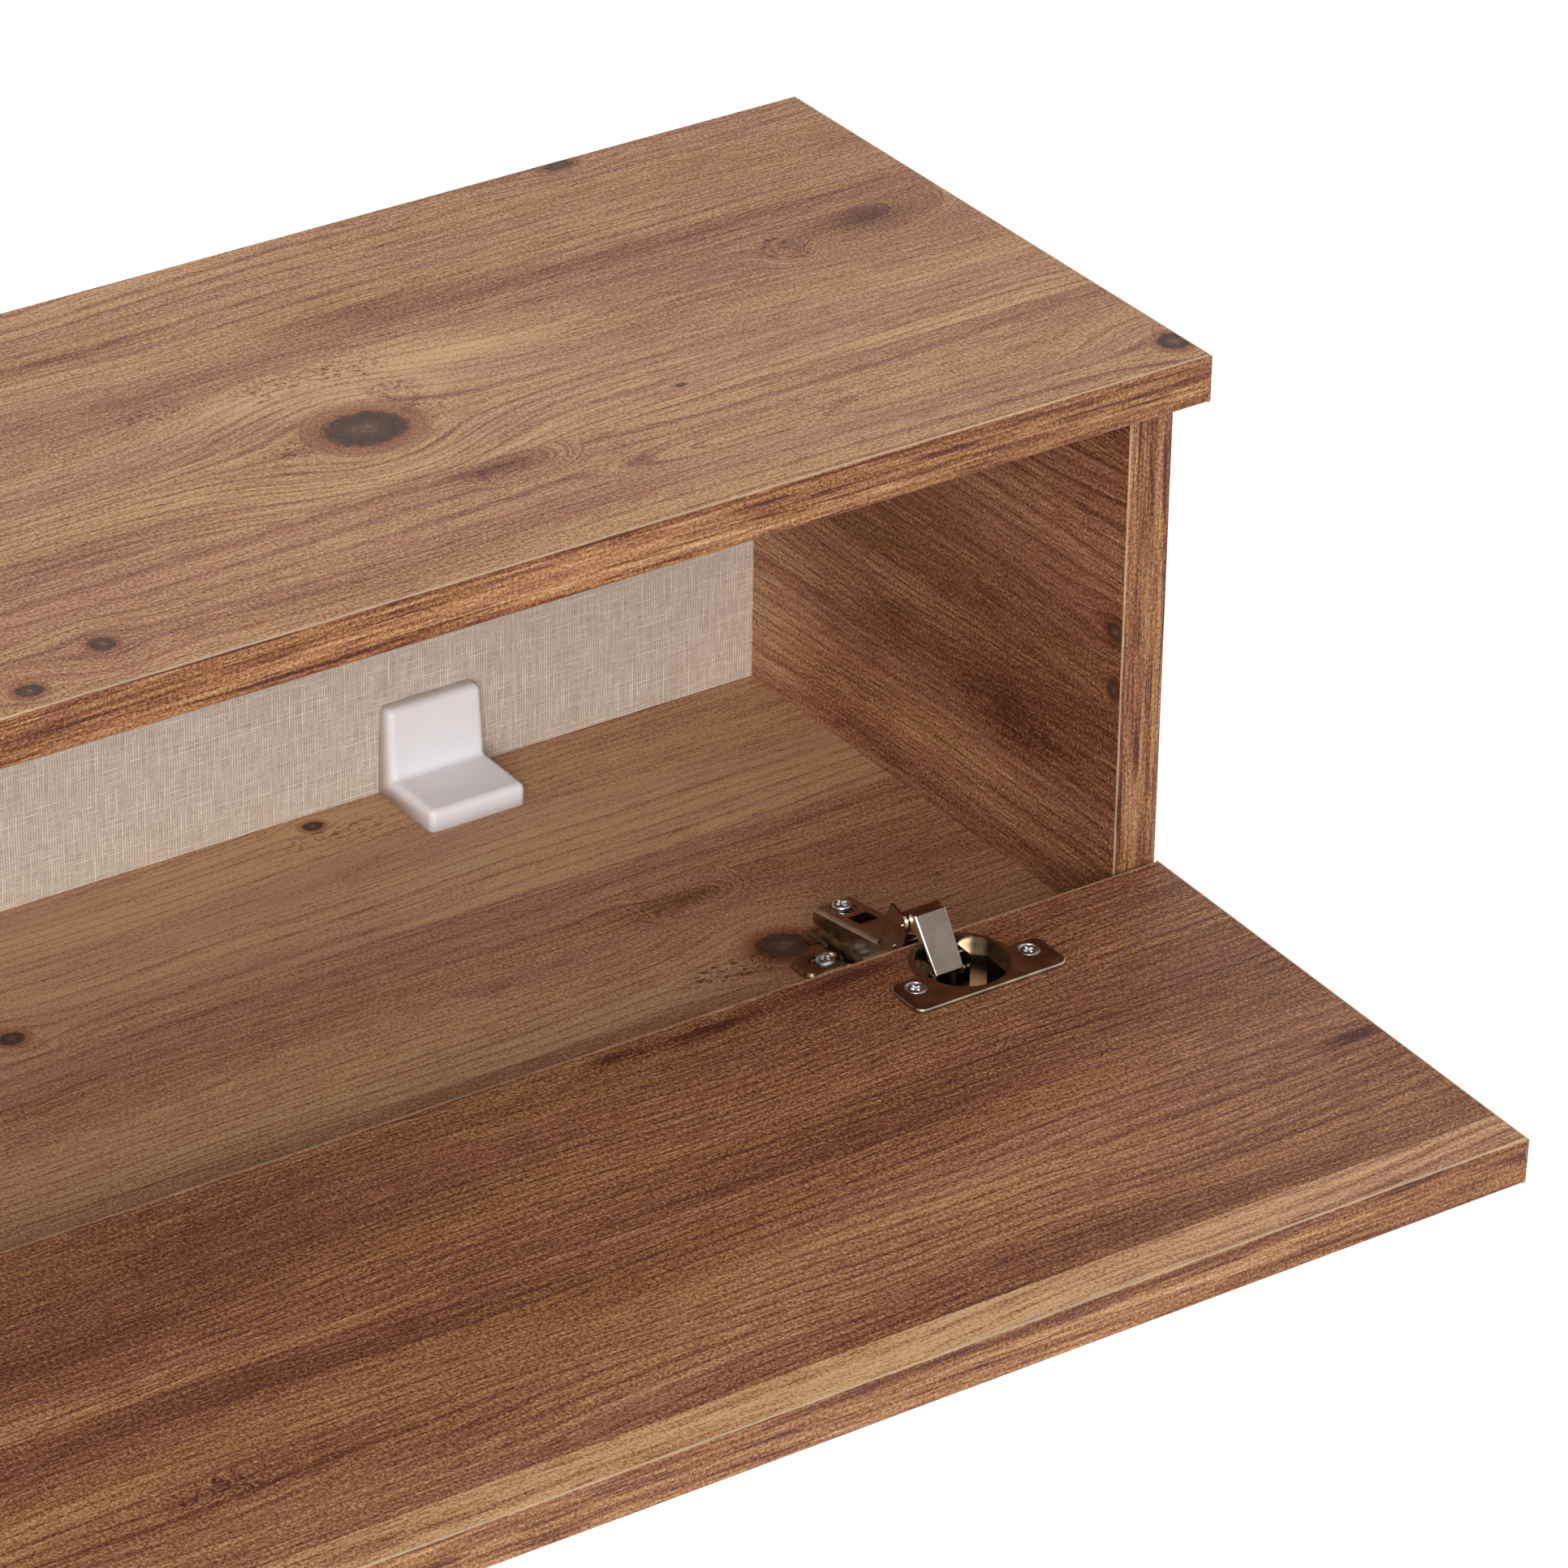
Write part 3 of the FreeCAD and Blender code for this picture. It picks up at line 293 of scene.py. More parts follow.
joints = {joint["name"]: joint for joint in frame["joints"]}
drop = math.radians(joints["right_flap_turn"]["range_deg"][1] - joints["right_carrier_turn"]["range_deg"][1])
flap_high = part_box("right_flap_lower_band")[1]
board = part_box("top_panel")[1].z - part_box("top_panel")[0].z
hinge_edge = (0.0, flap_high.y + board * math.cos(drop), flap_high.z)


def as_closed(finish):
    """Reads the place on an open flap as it would be with the flap shut, from its lower inner edge."""
    sockets = {"Vector": finish.place, "Location": hinge_edge, "Rotation": (drop, 0.0, 0.0)}
    return finish.add("Mapping", sockets, vector_type="TEXTURE")


printed_pine(
    "top_print", "XY", 11.0, tone=0.7, first_joint=-0.0883,
    knots=((0.4283, -0.1412, 0.0150, 0.0122), (0.6953, -0.2346, 0.0062, 0.006),
           (0.2782, -0.2243, 0.0045, 0.0042), (0.2432, -0.2385, 0.0048, 0.004),
           (0.5349, -0.1712, 0.0018, 0.0012), (0.5953, -0.003, 0.006, 0.003),
           (-0.155, -0.118, 0.010, 0.008), (-0.46, -0.206, 0.005, 0.004),
           (-0.585, -0.05, 0.007, 0.005)),
    swirls=((0.462, -0.1885, 0.010, 0.007), (0.664, -0.094, 0.022, 0.012),
            (0.53, -0.2120, -0.03, 0.005), (0.60, -0.2165, -0.03, 0.004)),
    patches_and_painted_light=((0.664, -0.0965, 0.018, 0.0095, 0.5), (0.612, -0.1, 0.04, 0.009, 0.14),
             (0.452, -0.1895, 0.017, 0.006, 0.4), (0.47, -0.11, 0.05, 0.02, -0.22),
             (0.41, -0.105, 0.03, 0.012, -0.16), (0.40, -0.135, 0.03, 0.02, 0.1),
             (0.47, -0.064, 0.035, 0.006, 0.2), (0.58, -0.0745, 0.14, 0.007, 0.2),
             (0.37, -0.042, 0.03, 0.004, 0.25), (0.38, -0.062, 0.07, 0.014, -0.14),
             (0.5, -0.1765, 0.2, 0.007, -0.12), (-0.3, -0.07, 0.2, 0.012, 0.16)),
    flecks=((0.433, -0.1, 0.03, 0.01), (0.4535, -0.137, 0.009, 0.005), (0.4, -0.142, 0.006, 0.006),
            (0.374, -0.094, 0.012, 0.005), (0.625, -0.102, 0.009, 0.01), (0.451, -0.122, 0.01, 0.009)),
).wear("top_panel")
# The bottom's print tone is set high, partly painted light for the brighter compartment floor. The long
# light patch along the rear is painted light: reflection and bounce from the linen back. The patch against
# the right side and the strip along the front, behind the flap's raised edge, are painted shade.
printed_pine(
    "bottom_print_with_painted_light", "XY", 31.0, tone=0.76, blush=0.05, first_joint=-0.096,
    knots=((0.5789, -0.174, 0.010, 0.009), (0.4844, -0.011, 0.004, 0.003),
           (0.3192, -0.0812, 0.005, 0.004), (-0.31, -0.15, 0.009, 0.007)),
    swirls=((0.575, -0.1276, 0.012, 0.007),),
    patches_and_painted_light=((0.5652, -0.1276, 0.03, 0.006, 0.3), (0.4778, -0.1437, 0.008, 0.002, 0.4),
             (0.59, -0.182, 0.03, 0.012, 0.3), (0.35, -0.04, 0.7, 0.06, -0.26),
             (0.66, -0.16, 0.04, 0.02, 0.2), (0.42, -0.205, 0.14, 0.02, 0.14)),
    flecks=((0.552, -0.178, 0.02, 0.006), (0.488, -0.02, 0.03, 0.005))).wear("bottom_panel")
# The two light patches low on the side, towards the back, are painted light: bounce from the floor and
# reflection of the linen back near the rear edge.
printed_pine(
    "side_print_with_painted_light", "YZ", 47.0, tone=0.43, blush=0.1, first_joint=-0.02,
    knots=((-0.2255, 0.0115, 0.005, 0.0035), (-0.2254, -0.0111, 0.003, 0.0035)),
    patches_and_painted_light=((-0.163, -0.046, 0.04, 0.012, 0.2), (-0.0924, -0.042, 0.02, 0.008, 0.2),
             (-0.01, -0.08, 0.035, 0.05, -0.34), (-0.12, -0.075, 0.07, 0.03, -0.16)),
    flecks=((-0.163, -0.05, 0.03, 0.01),),
).wear("right_side_panel", "left_side_panel", "centre_divider")
# The broad light patch over the front of the open flap is painted light: the part away from the cabinet
# catches more light than the part near it.
printed_pine(
    "flap_print_with_painted_light", "XZ", 67.0, tone=0.47, first_joint=0.097,
    knots=((-0.42, 0.13, 0.008, 0.006),),
    patches_and_painted_light=((0.6892, 0.1276, 0.012, 0.0035, 0.5), (0.561, 0.007, 0.02, 0.003, 0.35),
             (0.502, 0.0094, 0.016, 0.002, 0.4), (0.4642, 0.0073, 0.01, 0.002, 0.4),
             (0.35, 0.107, 0.4, 0.011, 0.12), (0.35, 0.06, 0.5, 0.02, 0.1),
             (0.35, 0.205, 0.8, 0.05, -0.34)),
    flecks=((0.222, 0.15, 0.018, 0.007), (0.5, 0.009, 0.03, 0.003)),
    place=as_closed).wear("right_flap_panel", "left_flap_panel")


# Edge bands
# One-millimetre plastic bands printed darker and streakier than the faces, glued on and scraped to a
# small radius. The scraper cuts through the print, so the cream plastic shows as a thin line.

CREAM = paint(196, 172, 140)


def printed_band(name, grain, seed, corner, place=None):
    """Band print along grain[0]. corner lists (axis, place, 1 or -1): the long edges where the
    scraper has cut through the print, and on which side of the place the band lies."""
    finish = Finish(name, Roughness=0.45, Specular_IOR_Level=0.3)
    at = finish.place if place is None else place(finish)
    along = finish.axis(at, grain[0])
    across = finish.axis(at, grain[1])
    flat = finish.point(along, across, seed)
    sway = finish.sway(finish.noise(flat, (5.0, 30.0, 1.0), 1.0), 0.002)
    lie = finish.point(along, finish.calc("ADD", across, sway), seed)
    broad = finish.noise(lie, (3.0, 110.0, 1.0), 3.0, 0.6)
    streak = finish.noise(lie, (22.0, 750.0, 1.0), 4.0, 0.8)
    line = finish.spread(finish.noise(lie, (16.0, 520.0, 1.0), 1.0), 0.58, 0.66)
    peel = finish.noise(flat, (760.0, 900.0, 1.0), 3.0, 0.9)
    shade = finish.total(finish.sway(broad, 0.8), finish.sway(streak, 0.9), finish.sway(peel, 1.2),
                         finish.calc("MULTIPLY_ADD", line, -0.3, 0.4))
    patch = finish.spread(finish.noise(lie, (22.0, 260.0, 4.0), 3.0, 0.7), 0.46, 0.64)
    shade = finish.calc("MULTIPLY_ADD", patch, -0.1, shade)
    wood = finish.mix(patch, finish.ramp(shade, PINE), finish.ramp(shade, ROSE))
    bare = finish.calc("MULTIPLY", 0.0, 0.0)
    for letter, edge, side in corner:
        depth = finish.calc("MULTIPLY", finish.calc("SUBTRACT", finish.axis(at, letter), edge), side)
        torn = finish.sway(finish.noise(flat, (60.0, 0.0, 1.0), 3.0, 0.6), 0.0003)
        bare = finish.calc("MAXIMUM", bare, finish.spread(finish.calc("ADD", depth, torn), 0.0005, 0.00015))
    wood = finish.mix(finish.calc("MULTIPLY", bare, 0.65), wood, CREAM)
    finish.feed(Base_Color=wood)
    finish.feed(Roughness=finish.calc("MULTIPLY_ADD", streak, 0.16, 0.34))
    finish.relief(finish.total(streak, peel), 0.0006, 0.8)
    return finish


for level in ("top", "bottom"):
    low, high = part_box(f"{level}_front_band")
    edges = [("Z", high.z, -1), ("Z", low.z, 1)]
    printed_band(f"{level}_front_band_print", "XZ", 5.0, edges).wear(f"{level}_front_band")
    printed_band(f"{level}_end_band_print", "YZ", 9.0, edges).wear(f"{level}_end_bands")
for number, name in enumerate(("left_side_band", "divider_band", "right_side_band")):
    low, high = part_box(name)
    edges = [("X", high.x, -1), ("X", low.x, 1)]
    printed_band(name + "_print", "ZX", 13.0 + number, edges).wear(name)
for side in ("left", "right"):
    faces = [("Y", 0.0, -1), ("Y", -board, 1)]
    for place in ("lower", "upper"):
        printed_band(f"{side}_flap_{place}_band_print", "XY", 21.0, faces, as_closed).wear(
            f"{side}_flap_{place}_band")
    printed_band(f"{side}_flap_end_band_print", "ZY", 25.0, faces, as_closed).wear(f"{side}_flap_end_bands")


# Back panels
# Three-millimetre hardboard in two halves, faced with paper printed as plain linen, and nailed to the
# rear edges of the carcass.

THREAD = 0.00105

linen = Finish("linen_print", Roughness=0.75)
grid = linen.vector("MULTIPLY", linen.place, (1 / THREAD, 1 / THREAD, 1 / THREAD))
warp, weft = linen.axis(grid, "X"), linen.axis(grid, "Z")
bend = linen.sway(linen.noise(linen.place, (60.0, 60.0, 60.0), 2.0), 0.5)
warp, weft = linen.calc("ADD", warp, bend), linen.calc("ADD", weft, bend)
warp_tone = linen.noise(linen.point(warp, weft, 3.0), (0.9, 0.06, 1.0), 2.0, 0.7)
weft_tone = linen.noise(linen.point(warp, weft, 8.0), (0.06, 0.9, 1.0), 2.0, 0.7)
warp_line = linen.spread(linen.calc("PINGPONG", warp, 0.5), 0.08, 0.42)
weft_line = linen.spread(linen.calc("PINGPONG", weft, 0.5), 0.08, 0.42)
warp_line = linen.calc("MULTIPLY", warp_line, linen.calc("MULTIPLY_ADD", warp_tone, 2.2, -0.5))
weft_line = linen.calc("MULTIPLY", weft_line, linen.calc("MULTIPLY_ADD", weft_tone, 2.2, -0.6))
lint = linen.noise(linen.place, (900.0, 900.0, 900.0), 2.0, 0.7)
cloth = linen.total(linen.calc("MAXIMUM", warp_line, weft_line), linen.sway(lint, 0.3))
linen.feed(Base_Color=linen.ramp(cloth, [(0.0, paint(160, 143, 128)), (0.5, paint(196, 181, 166)),
                                         (1.0, paint(232, 220, 206))]))
linen.relief(cloth, 0.00008, 0.6)
linen.wear("left_back_panel", "right_back_panel")


# Wall fixings
# Four steel angles hold the console to the wall. Each hides under a white moulded hood that snaps on,
# with soft edges, a slight bloom of mould texture and a matt skin.

hood = Finish("hood_moulding", Roughness=0.42, Subsurface_Weight=0.15, Subsurface_Scale=0.002)
bloom = hood.noise(hood.place, (90.0, 90.0, 90.0), 2.0)
grit = hood.noise(hood.place, (2600.0, 2600.0, 2600.0), 1.0)
hood.feed(Base_Color=hood.mix(bloom, paint(225, 222, 225), paint(232, 229, 231)))
hood.feed(Roughness=hood.calc("MULTIPLY_ADD", bloom, 0.12, 0.36))
hood.relief(grit, 0.00004, 0.5)
HOOD_TOP = 0.0070
HOOD_FOOT = 0.0090
HOOD_FRONT = 0.0084
HOOD_DRAFT = 0.0007
HOOD_ROUND = 0.0026
HOOD_SKIN = 0.0014


def hood_shell(name, node, upright):
    """An L-shaped hood, open at the back and below. Its line is six points (out from the wall, away
    from the board), and each end leans in by HOOD_DRAFT times its share of the height."""
    low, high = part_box(node)
    leg = high.z - low.z
    line = np.array([(0.0, leg), (HOOD_TOP, leg), (HOOD_FOOT, HOOD_FOOT),
                     (leg, HOOD_FRONT), (leg, 0.0), (0.0, 0.0)])
    lean = HOOD_DRAFT * line[:, 1] / leg
    ends = [np.column_stack([np.full(6, low.x) + lean, high.y - line[:, 0], line[:, 1]]),
            np.column_stack([np.full(6, high.x) - lean, high.y - line[:, 0], line[:, 1]])]
    points = np.concatenate(ends)
    points[:, 2] = low.z + points[:, 2] if upright else high.z - points[:, 2]
    faces = [(step, step + 1, step + 7, step + 6) for step in range(4)]
    faces += [(5, 4, 3, 2, 1, 0), (6, 7, 8, 9, 10, 11)]
    faces = faces if upright else [face[::-1] for face in faces]
    mesh = bpy.data.meshes.new(name)
    mesh.from_pydata(points.tolist(), [], faces)
    mesh.shade_smooth()
    mesh.materials.append(hood.material)
    piece = bpy.data.objects.new(name, mesh)
    bpy.context.scene.collection.objects.link(piece)
    soft = piece.modifiers.new("soft_edges", "BEVEL")
    soft.width = HOOD_ROUND
    soft.segments = 5
    soft.limit_method = "ANGLE"
    soft.harden_normals = True
    skin = piece.modifiers.new("skin", "SOLIDIFY")
    skin.thickness = HOOD_SKIN
    skin.offset = -1.0
    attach(piece, "root")
    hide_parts(node)


corners = [f"{side}_{level}" for side in ("left", "right") for level in ("lower", "upper")]
for corner in corners:
    hood_shell(f"{corner}_hood", f"{corner}_bracket_cover", corner.endswith("lower"))


# Fasteners and joinery
# Zinc-plated screws, nails, cams and bolts hold the boards and fittings, each seated in its own bore.
# Beech dowels line the boards up.


def plated(name, dark, light, roughness, grain=700.0):
    """Plated steel: a cloudy metal with fine scratches."""
    metal = Finish(name, Metallic=1.0)
    cloud = metal.noise(metal.place, (160.0, 160.0, 160.0), 3.0)
    scratch = metal.noise(metal.place, (grain, grain * 6, grain), 2.0, 0.7)
    metal.feed(Base_Color=metal.mix(metal.spread(cloud, 0.3, 0.7), dark, light))
    metal.feed(Roughness=metal.total(metal.sway(scratch, 0.06), metal.sway(cloud, 0.05), roughness))
    metal.relief(scratch, 0.00001, 0.5)
    return metal


zinc = plated("zinc_plate", paint(178, 180, 184), paint(214, 216, 220), 0.3)
zinc.wear("bracket_screws", "back_nails", "confirmat_screws", "cam_discs", "cam_bolts",
          *[f"{corner}_bracket" for corner in corners])
bright = plated("bright_zinc", paint(176, 182, 194), paint(232, 234, 238), 0.2)

hinges = ("left_outer", "left_inner", "right_inner", "right_outer")
hinge_middles = [(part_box(f"{hinge}_hinge_cup")[0].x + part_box(f"{hinge}_hinge_cup")[1].x) / 2
                 for hinge in hinges]
SIDE_FRONT = -0.230
FLOOR = -0.107
AROUND = 56
FLANGE = 0.0016
CUP_SCREW_HALF = 0.024
CUP_SCREW_UP = 0.0265
WING_SCREW_HALF = 0.016
PLATE_SETBACK = 0.037


def cross_recess(reach, half, depth, away, turn):
    """Depth of a cross-shaped driver recess: two arms half wide that fade out at reach from the middle."""
    nearer = np.minimum(np.abs(away * np.cos(turn)), np.abs(away * np.sin(turn)))
    arm = np.clip((half - nearer) / (0.45 * half), 0.0, 1.0)
    end = np.clip((reach - away) / (0.35 * reach), 0.0, 1.0)
    return depth * arm * end * (0.55 + 0.45 * np.clip(1.0 - away / reach, 0.0, 1.0))


def screw_rings(line, recess, body):
    """Rings of one screw, top first, as (around, sideways, up): line is the head's (radius, height)
    profile, spread evenly into many rings and sunk by the recess, and body the rings below it."""
    line = np.array(line)
    along = np.concatenate([[0.0], np.cumsum(np.hypot(*np.diff(line, axis=0).T))])
    even = np.linspace(0.0, along[-1], 44)[1:]
    radius = np.concatenate([np.interp(even, along, line[:, 0]), [r for r, _ in body]])[:, None]
    height = np.concatenate([np.interp(even, along, line[:, 1]), [z for _, z in body]])[:, None]
    turn = np.linspace(0.0, 2 * math.pi, AROUND, endpoint=False)[None, :]
    sunk = cross_recess(*recess, radius, turn) * (height > -0.0006)
    return np.stack([radius * np.cos(turn), radius * np.sin(turn), height - sunk], axis=-1)


def screws(name, node, body, rings, seats, finish):
    """Copies of one screw. Each seat is (spot, first side, second side, up) and the three directions
    make a right-handed set."""
    count = len(rings) * AROUND
    top = np.append(rings[0, :, :2].mean(axis=0), rings[0, :, 2].min())
    tip = np.append(rings[-1, :, :2].mean(axis=0), rings[-1, :, 2].mean())
    shape = np.concatenate([rings.reshape(-1, 3), [top, tip]])
    places = np.concatenate([np.array(spot) + shape @ np.array(axes) for spot, *axes in seats])
    ring, step = np.meshgrid(np.arange(len(rings) - 1), np.arange(AROUND), indexing="ij")
    here, after = (ring * AROUND + step).ravel(), (ring * AROUND + (step + 1) % AROUND).ravel()
    quads = np.column_stack([here, here + AROUND, after + AROUND, after])
    edge = np.arange(AROUND)
    cap = np.column_stack([np.full(AROUND, count), edge, (edge + 1) % AROUND])
    foot = count - AROUND
    point = np.column_stack([np.full(AROUND, count + 1), foot + (edge + 1) % AROUND, foot + edge])
    faces = []
    for number in range(len(seats)):
        first = number * len(shape)
        faces += (quads + first).tolist() + (cap + first).tolist() + (point + first).tolist()
    mesh = bpy.data.meshes.new(name)
    mesh.from_pydata(places.tolist(), [], faces)
    mesh.shade_smooth()
    mesh.materials.append(finish.material)
    piece = bpy.data.objects.new(name, mesh)
    bpy.context.scene.collection.objects.link(piece)
    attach(piece, body)
    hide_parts(node)


UPRIGHT = ((1.0, 0.0, 0.0), (0.0, 1.0, 0.0), (0.0, 0.0, 1.0))
flap_out = (0.0, math.cos(drop), math.sin(drop))
flap_up = (0.0, -math.sin(drop), math.cos(drop))
sunk_head = screw_rings([(0.0, 0.0), (0.0024, -0.00002), (0.00315, -0.00015), (0.0033, -0.0007),
                         (0.00335, -0.0007), (0.0035, 0.0), (0.0038, 0.0001), (0.0039, 0.0)],
                        (0.0021, 0.00062, 0.0011),
                        [(0.0039, -0.0001), (0.00175, -0.0016), (0.00175, -0.0114), (0.001, -0.0133)])
for side, middles in (("left", hinge_middles[:2]), ("right", hinge_middles[2:])):
    seats = []
    for middle in middles:
        for way in (-CUP_SCREW_HALF, CUP_SCREW_HALF):
            spot = np.array(hinge_edge) + FLANGE * np.array(flap_out) + CUP_SCREW_UP * np.array(flap_up)
            seats.append((spot + (middle + way, 0.0, 0.0), flap_up, (1.0, 0.0, 0.0), flap_out))
    screws(f"{side}_flange_screws", f"{side}_cup_screws", f"{side}_flap", sunk_head, seats, bright)

pan_head = screw_rings([(0.0, 0.0), (0.0015, -0.00003), (0.0028, -0.0003), (0.0036, -0.0009),
                        (0.0039, -0.0018)], (0.0023, 0.0007, 0.0012),
                       [(0.00175, -0.0019), (0.00175, -0.013), (0.001, -0.0149)])
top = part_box("plate_screws")[1].z
seats = [((middle + way, SIDE_FRONT + PLATE_SETBACK, top), *UPRIGHT)
         for middle in hinge_middles for way in (-WING_SCREW_HALF, WING_SCREW_HALF)]
screws("wing_screws", "plate_screws", "root", pan_head, seats, zinc)

flat_head = screw_rings([(0.0, 0.0), (0.003, -0.00002), (0.0034, -0.0002), (0.0036, -0.0006),
                         (0.0036, -0.0018)], (0.0026, 0.00075, 0.0013),
                        [(0.002, -0.0018), (0.002, -0.0095)])
low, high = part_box("arm_screws")
seats = [((middle, (low.y + high.y) / 2, high.z), *UPRIGHT) for middle in hinge_middles]
screws("crank_screws", "arm_screws", "root", flat_head, seats, zinc)

beech = Finish("beech_dowel", Roughness=0.6)
pore = beech.noise(beech.place, (900.0, 900.0, 60.0), 3.0)
beech.feed(Base_Color=beech.mix(pore, paint(176, 136, 96), paint(206, 172, 130)))
beech.relief(pore, 0.0001, 0.6)
beech.wear("dowels")


# Cup hinges
# Pressed steel, barrel plated in a warm nickel. Inside each cup the colour is painted darker with depth, as
# painted shade in the recess.
# The cup sits in a bored hole, and two links join it to the arm on its mounting plate.

nickel = plated("nickel_plate", paint(150, 136, 120), paint(182, 168, 150), 0.2)
parts = ("carrier_link", "hinge_arm", "mounting_plate")
nickel.wear(*[f"{hinge}_{part}" for hinge in hinges for part in parts])

cup_nickel_painted_shade = plated("cup_nickel_painted_shade", paint(150, 136, 120), paint(182, 168, 150), 0.2)
# Painted shade: the cup's colour darkens with depth below the flange, standing in for the shade inside the
# recess.
sunk = cup_nickel_painted_shade.calc("MULTIPLY", cup_nickel_painted_shade.axis(as_closed(cup_nickel_painted_shade), "Y"), -1.0)
tone = cup_nickel_painted_shade.shader.inputs["Base Color"].links[0].from_socket
cup_nickel_painted_shade.feed(Base_Color=cup_nickel_painted_shade.mix(cup_nickel_painted_shade.spread(sunk, 0.0, 0.006), tone, paint(118, 101, 82)))
cup_nickel_painted_shade.wear(*[f"{hinge}_hinge_cup" for hinge in hinges])

LINK_HALF = 0.0067
for hinge, middle in zip(hinges, hinge_middles):
    highlit_link = plated(f"{hinge}_link_painted_edge_highlight", paint(124, 112, 101), paint(136, 124, 113), 0.26)
    aside = highlit_link.calc("ABSOLUTE", highlit_link.calc("SUBTRACT", highlit_link.axis(highlit_link.place, "X"), middle))
    tone = highlit_link.shader.inputs["Base Color"].links[0].from_socket
    # Painted highlight: the link's two side edges turn near-white, standing in for the light they catch.
    highlit_link.feed(Base_Color=highlit_link.mix(highlit_link.spread(aside, LINK_HALF - 0.0009, LINK_HALF - 0.0004), tone,
                                    paint(222, 214, 202)))
    highlit_link.wear(f"{hinge}_cover_link")

RIB_REACH = 0.0024
RIB_RADIUS = 0.00036
RIB_STEPS = 25
RIB_AROUND = 12
FACE_TOP = np.array([SIDE_FRONT - 0.0026, FLOOR + 0.0351])
FACE_FOOT = np.array([SIDE_FRONT - 0.0151, FLOOR + 0.0178])


def pressed_ribs(name, middle, body):
    """Two thin ribs inside the link's sheet, on its middle line and below its face. Each is a round bar
    whose radius follows the fourth root of sin along it, so that both ends are rounded and closed."""
    share = np.linspace(0.0, 1.0, RIB_STEPS)[:, None]
    turn = np.linspace(0.0, 2 * math.pi, RIB_AROUND, endpoint=False)[None, :]
    down = FACE_FOOT - FACE_TOP
    out = np.array([down[1], -down[0]]) / np.hypot(*down)
    radius = RIB_RADIUS * np.clip(np.sin(math.pi * share), 0.0, 1.0) ** 0.25
    line = FACE_TOP + (0.3 + 0.55 * share) * down
    lift = radius * np.sin(turn)
    out_y, out_z = line[:, :1] + lift * out[0], line[:, 1:] + lift * out[1]
    points = [np.stack([middle + aside + radius * np.cos(turn), out_y, out_z], axis=-1).reshape(-1, 3)
              for aside in (-RIB_REACH, RIB_REACH)]
    ring, step = np.meshgrid(np.arange(RIB_STEPS - 1), np.arange(RIB_AROUND), indexing="ij")
    here = (ring * RIB_AROUND + step).ravel()
    after = (ring * RIB_AROUND + (step + 1) % RIB_AROUND).ravel()
    quads = np.column_stack([here, after, after + RIB_AROUND, here + RIB_AROUND])
    faces = np.concatenate([quads, quads + RIB_STEPS * RIB_AROUND])
    mesh = bpy.data.meshes.new(name)
    mesh.from_pydata(np.concatenate(points).tolist(), [], faces.tolist())
    mesh.shade_smooth()
    mesh.materials.append(polished.material)
    piece = bpy.data.objects.new(name, mesh)
    bpy.context.scene.collection.objects.link(piece)
    closed = piece.modifiers.new("closed_ends", "WELD")
    closed.merge_threshold = 1e-7
    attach(piece, body)


polished = plated("polished_rib", paint(238, 232, 222), paint(248, 244, 236), 0.16)
for hinge, middle in zip(hinges, hinge_middles):
    pressed_ribs(f"{hinge}_link_ribs", middle, hinge.split("_")[0] + "_cover_links")


def press_finish(name, notch=None):
    """Joins the loose triangles of a pressed part and shades it smooth but for its sharp edges. A notch
    (middle, size) is a block cut from the part first."""
    group = bpy.data.node_groups.new(name, "GeometryNodeTree")
    group.interface.new_socket("Geometry", in_out="INPUT", socket_type="NodeSocketGeometry")
    group.interface.new_socket("Geometry", in_out="OUTPUT", socket_type="NodeSocketGeometry")
    start, end = group.nodes.new("NodeGroupInput"), group.nodes.new("NodeGroupOutput")
    weld = group.nodes.new("GeometryNodeMergeByDistance")
    weld.inputs["Distance"].default_value = 1e-6
    angle = group.nodes.new("GeometryNodeInputMeshEdgeAngle")
    round_edge = group.nodes.new("FunctionNodeCompare")
    round_edge.operation = "LESS_THAN"
    round_edge.inputs["B"].default_value = math.radians(32)
    faces = group.nodes.new("GeometryNodeSetShadeSmooth")
    edges = group.nodes.new("GeometryNodeSetShadeSmooth")
    edges.domain = "EDGE"
    link = group.links.new
    link(start.outputs[0], weld.inputs["Geometry"])
    shape = weld.outputs[0]
    if notch is not None:
        block = group.nodes.new("GeometryNodeMeshCube")
        block.inputs["Size"].default_value = notch[1]
        moved = group.nodes.new("GeometryNodeTransform")
        moved.inputs["Translation"].default_value = notch[0]
        cut = group.nodes.new("GeometryNodeMeshBoolean")
        cut.operation = "DIFFERENCE"
        link(block.outputs["Mesh"], moved.inputs["Geometry"])
        link(shape, cut.inputs["Mesh 1"])
        link(moved.outputs[0], cut.inputs["Mesh 2"])
        shape = cut.outputs["Mesh"]
    link(shape, faces.inputs["Geometry"])
    link(faces.outputs[0], edges.inputs["Geometry"])
    link(angle.outputs["Unsigned Angle"], round_edge.inputs["A"])
    link(round_edge.outputs[0], edges.inputs["Shade Smooth"])
    link(edges.outputs[0], end.inputs[0])
    return group


plain_press = press_finish("press_finish")
for hinge, middle in zip(hinges, hinge_middles):
    notch = ((middle + 0.0085, SIDE_FRONT + 0.0125, FLOOR + 0.0375), (0.004, 0.016, 0.018))
    arm_press = press_finish(f"{hinge}_arm_finish", notch)
    for part in ("hinge_cup", "carrier_link", "cover_link", "hinge_arm", "mounting_plate"):
        pressed = nodes[f"{hinge}_{part}"]
        smooth = pressed.modifiers.new("smooth", "NODES")
        smooth.node_group = arm_press if part == "hinge_arm" else plain_press
        edge = pressed.modifiers.new("rolled_edges", "BEVEL")
        edge.width = 0.00018
        edge.segments = 2
        edge.limit_method = "ANGLE"
        edge.angle_limit = math.radians(40)


# Studio
# A pale floor well below the wall-hung console, an even bright room, and two large soft lamps, one
# above and one in front.

FLOOR_DROP = 0.55
FLOOR_HALF = 14.0

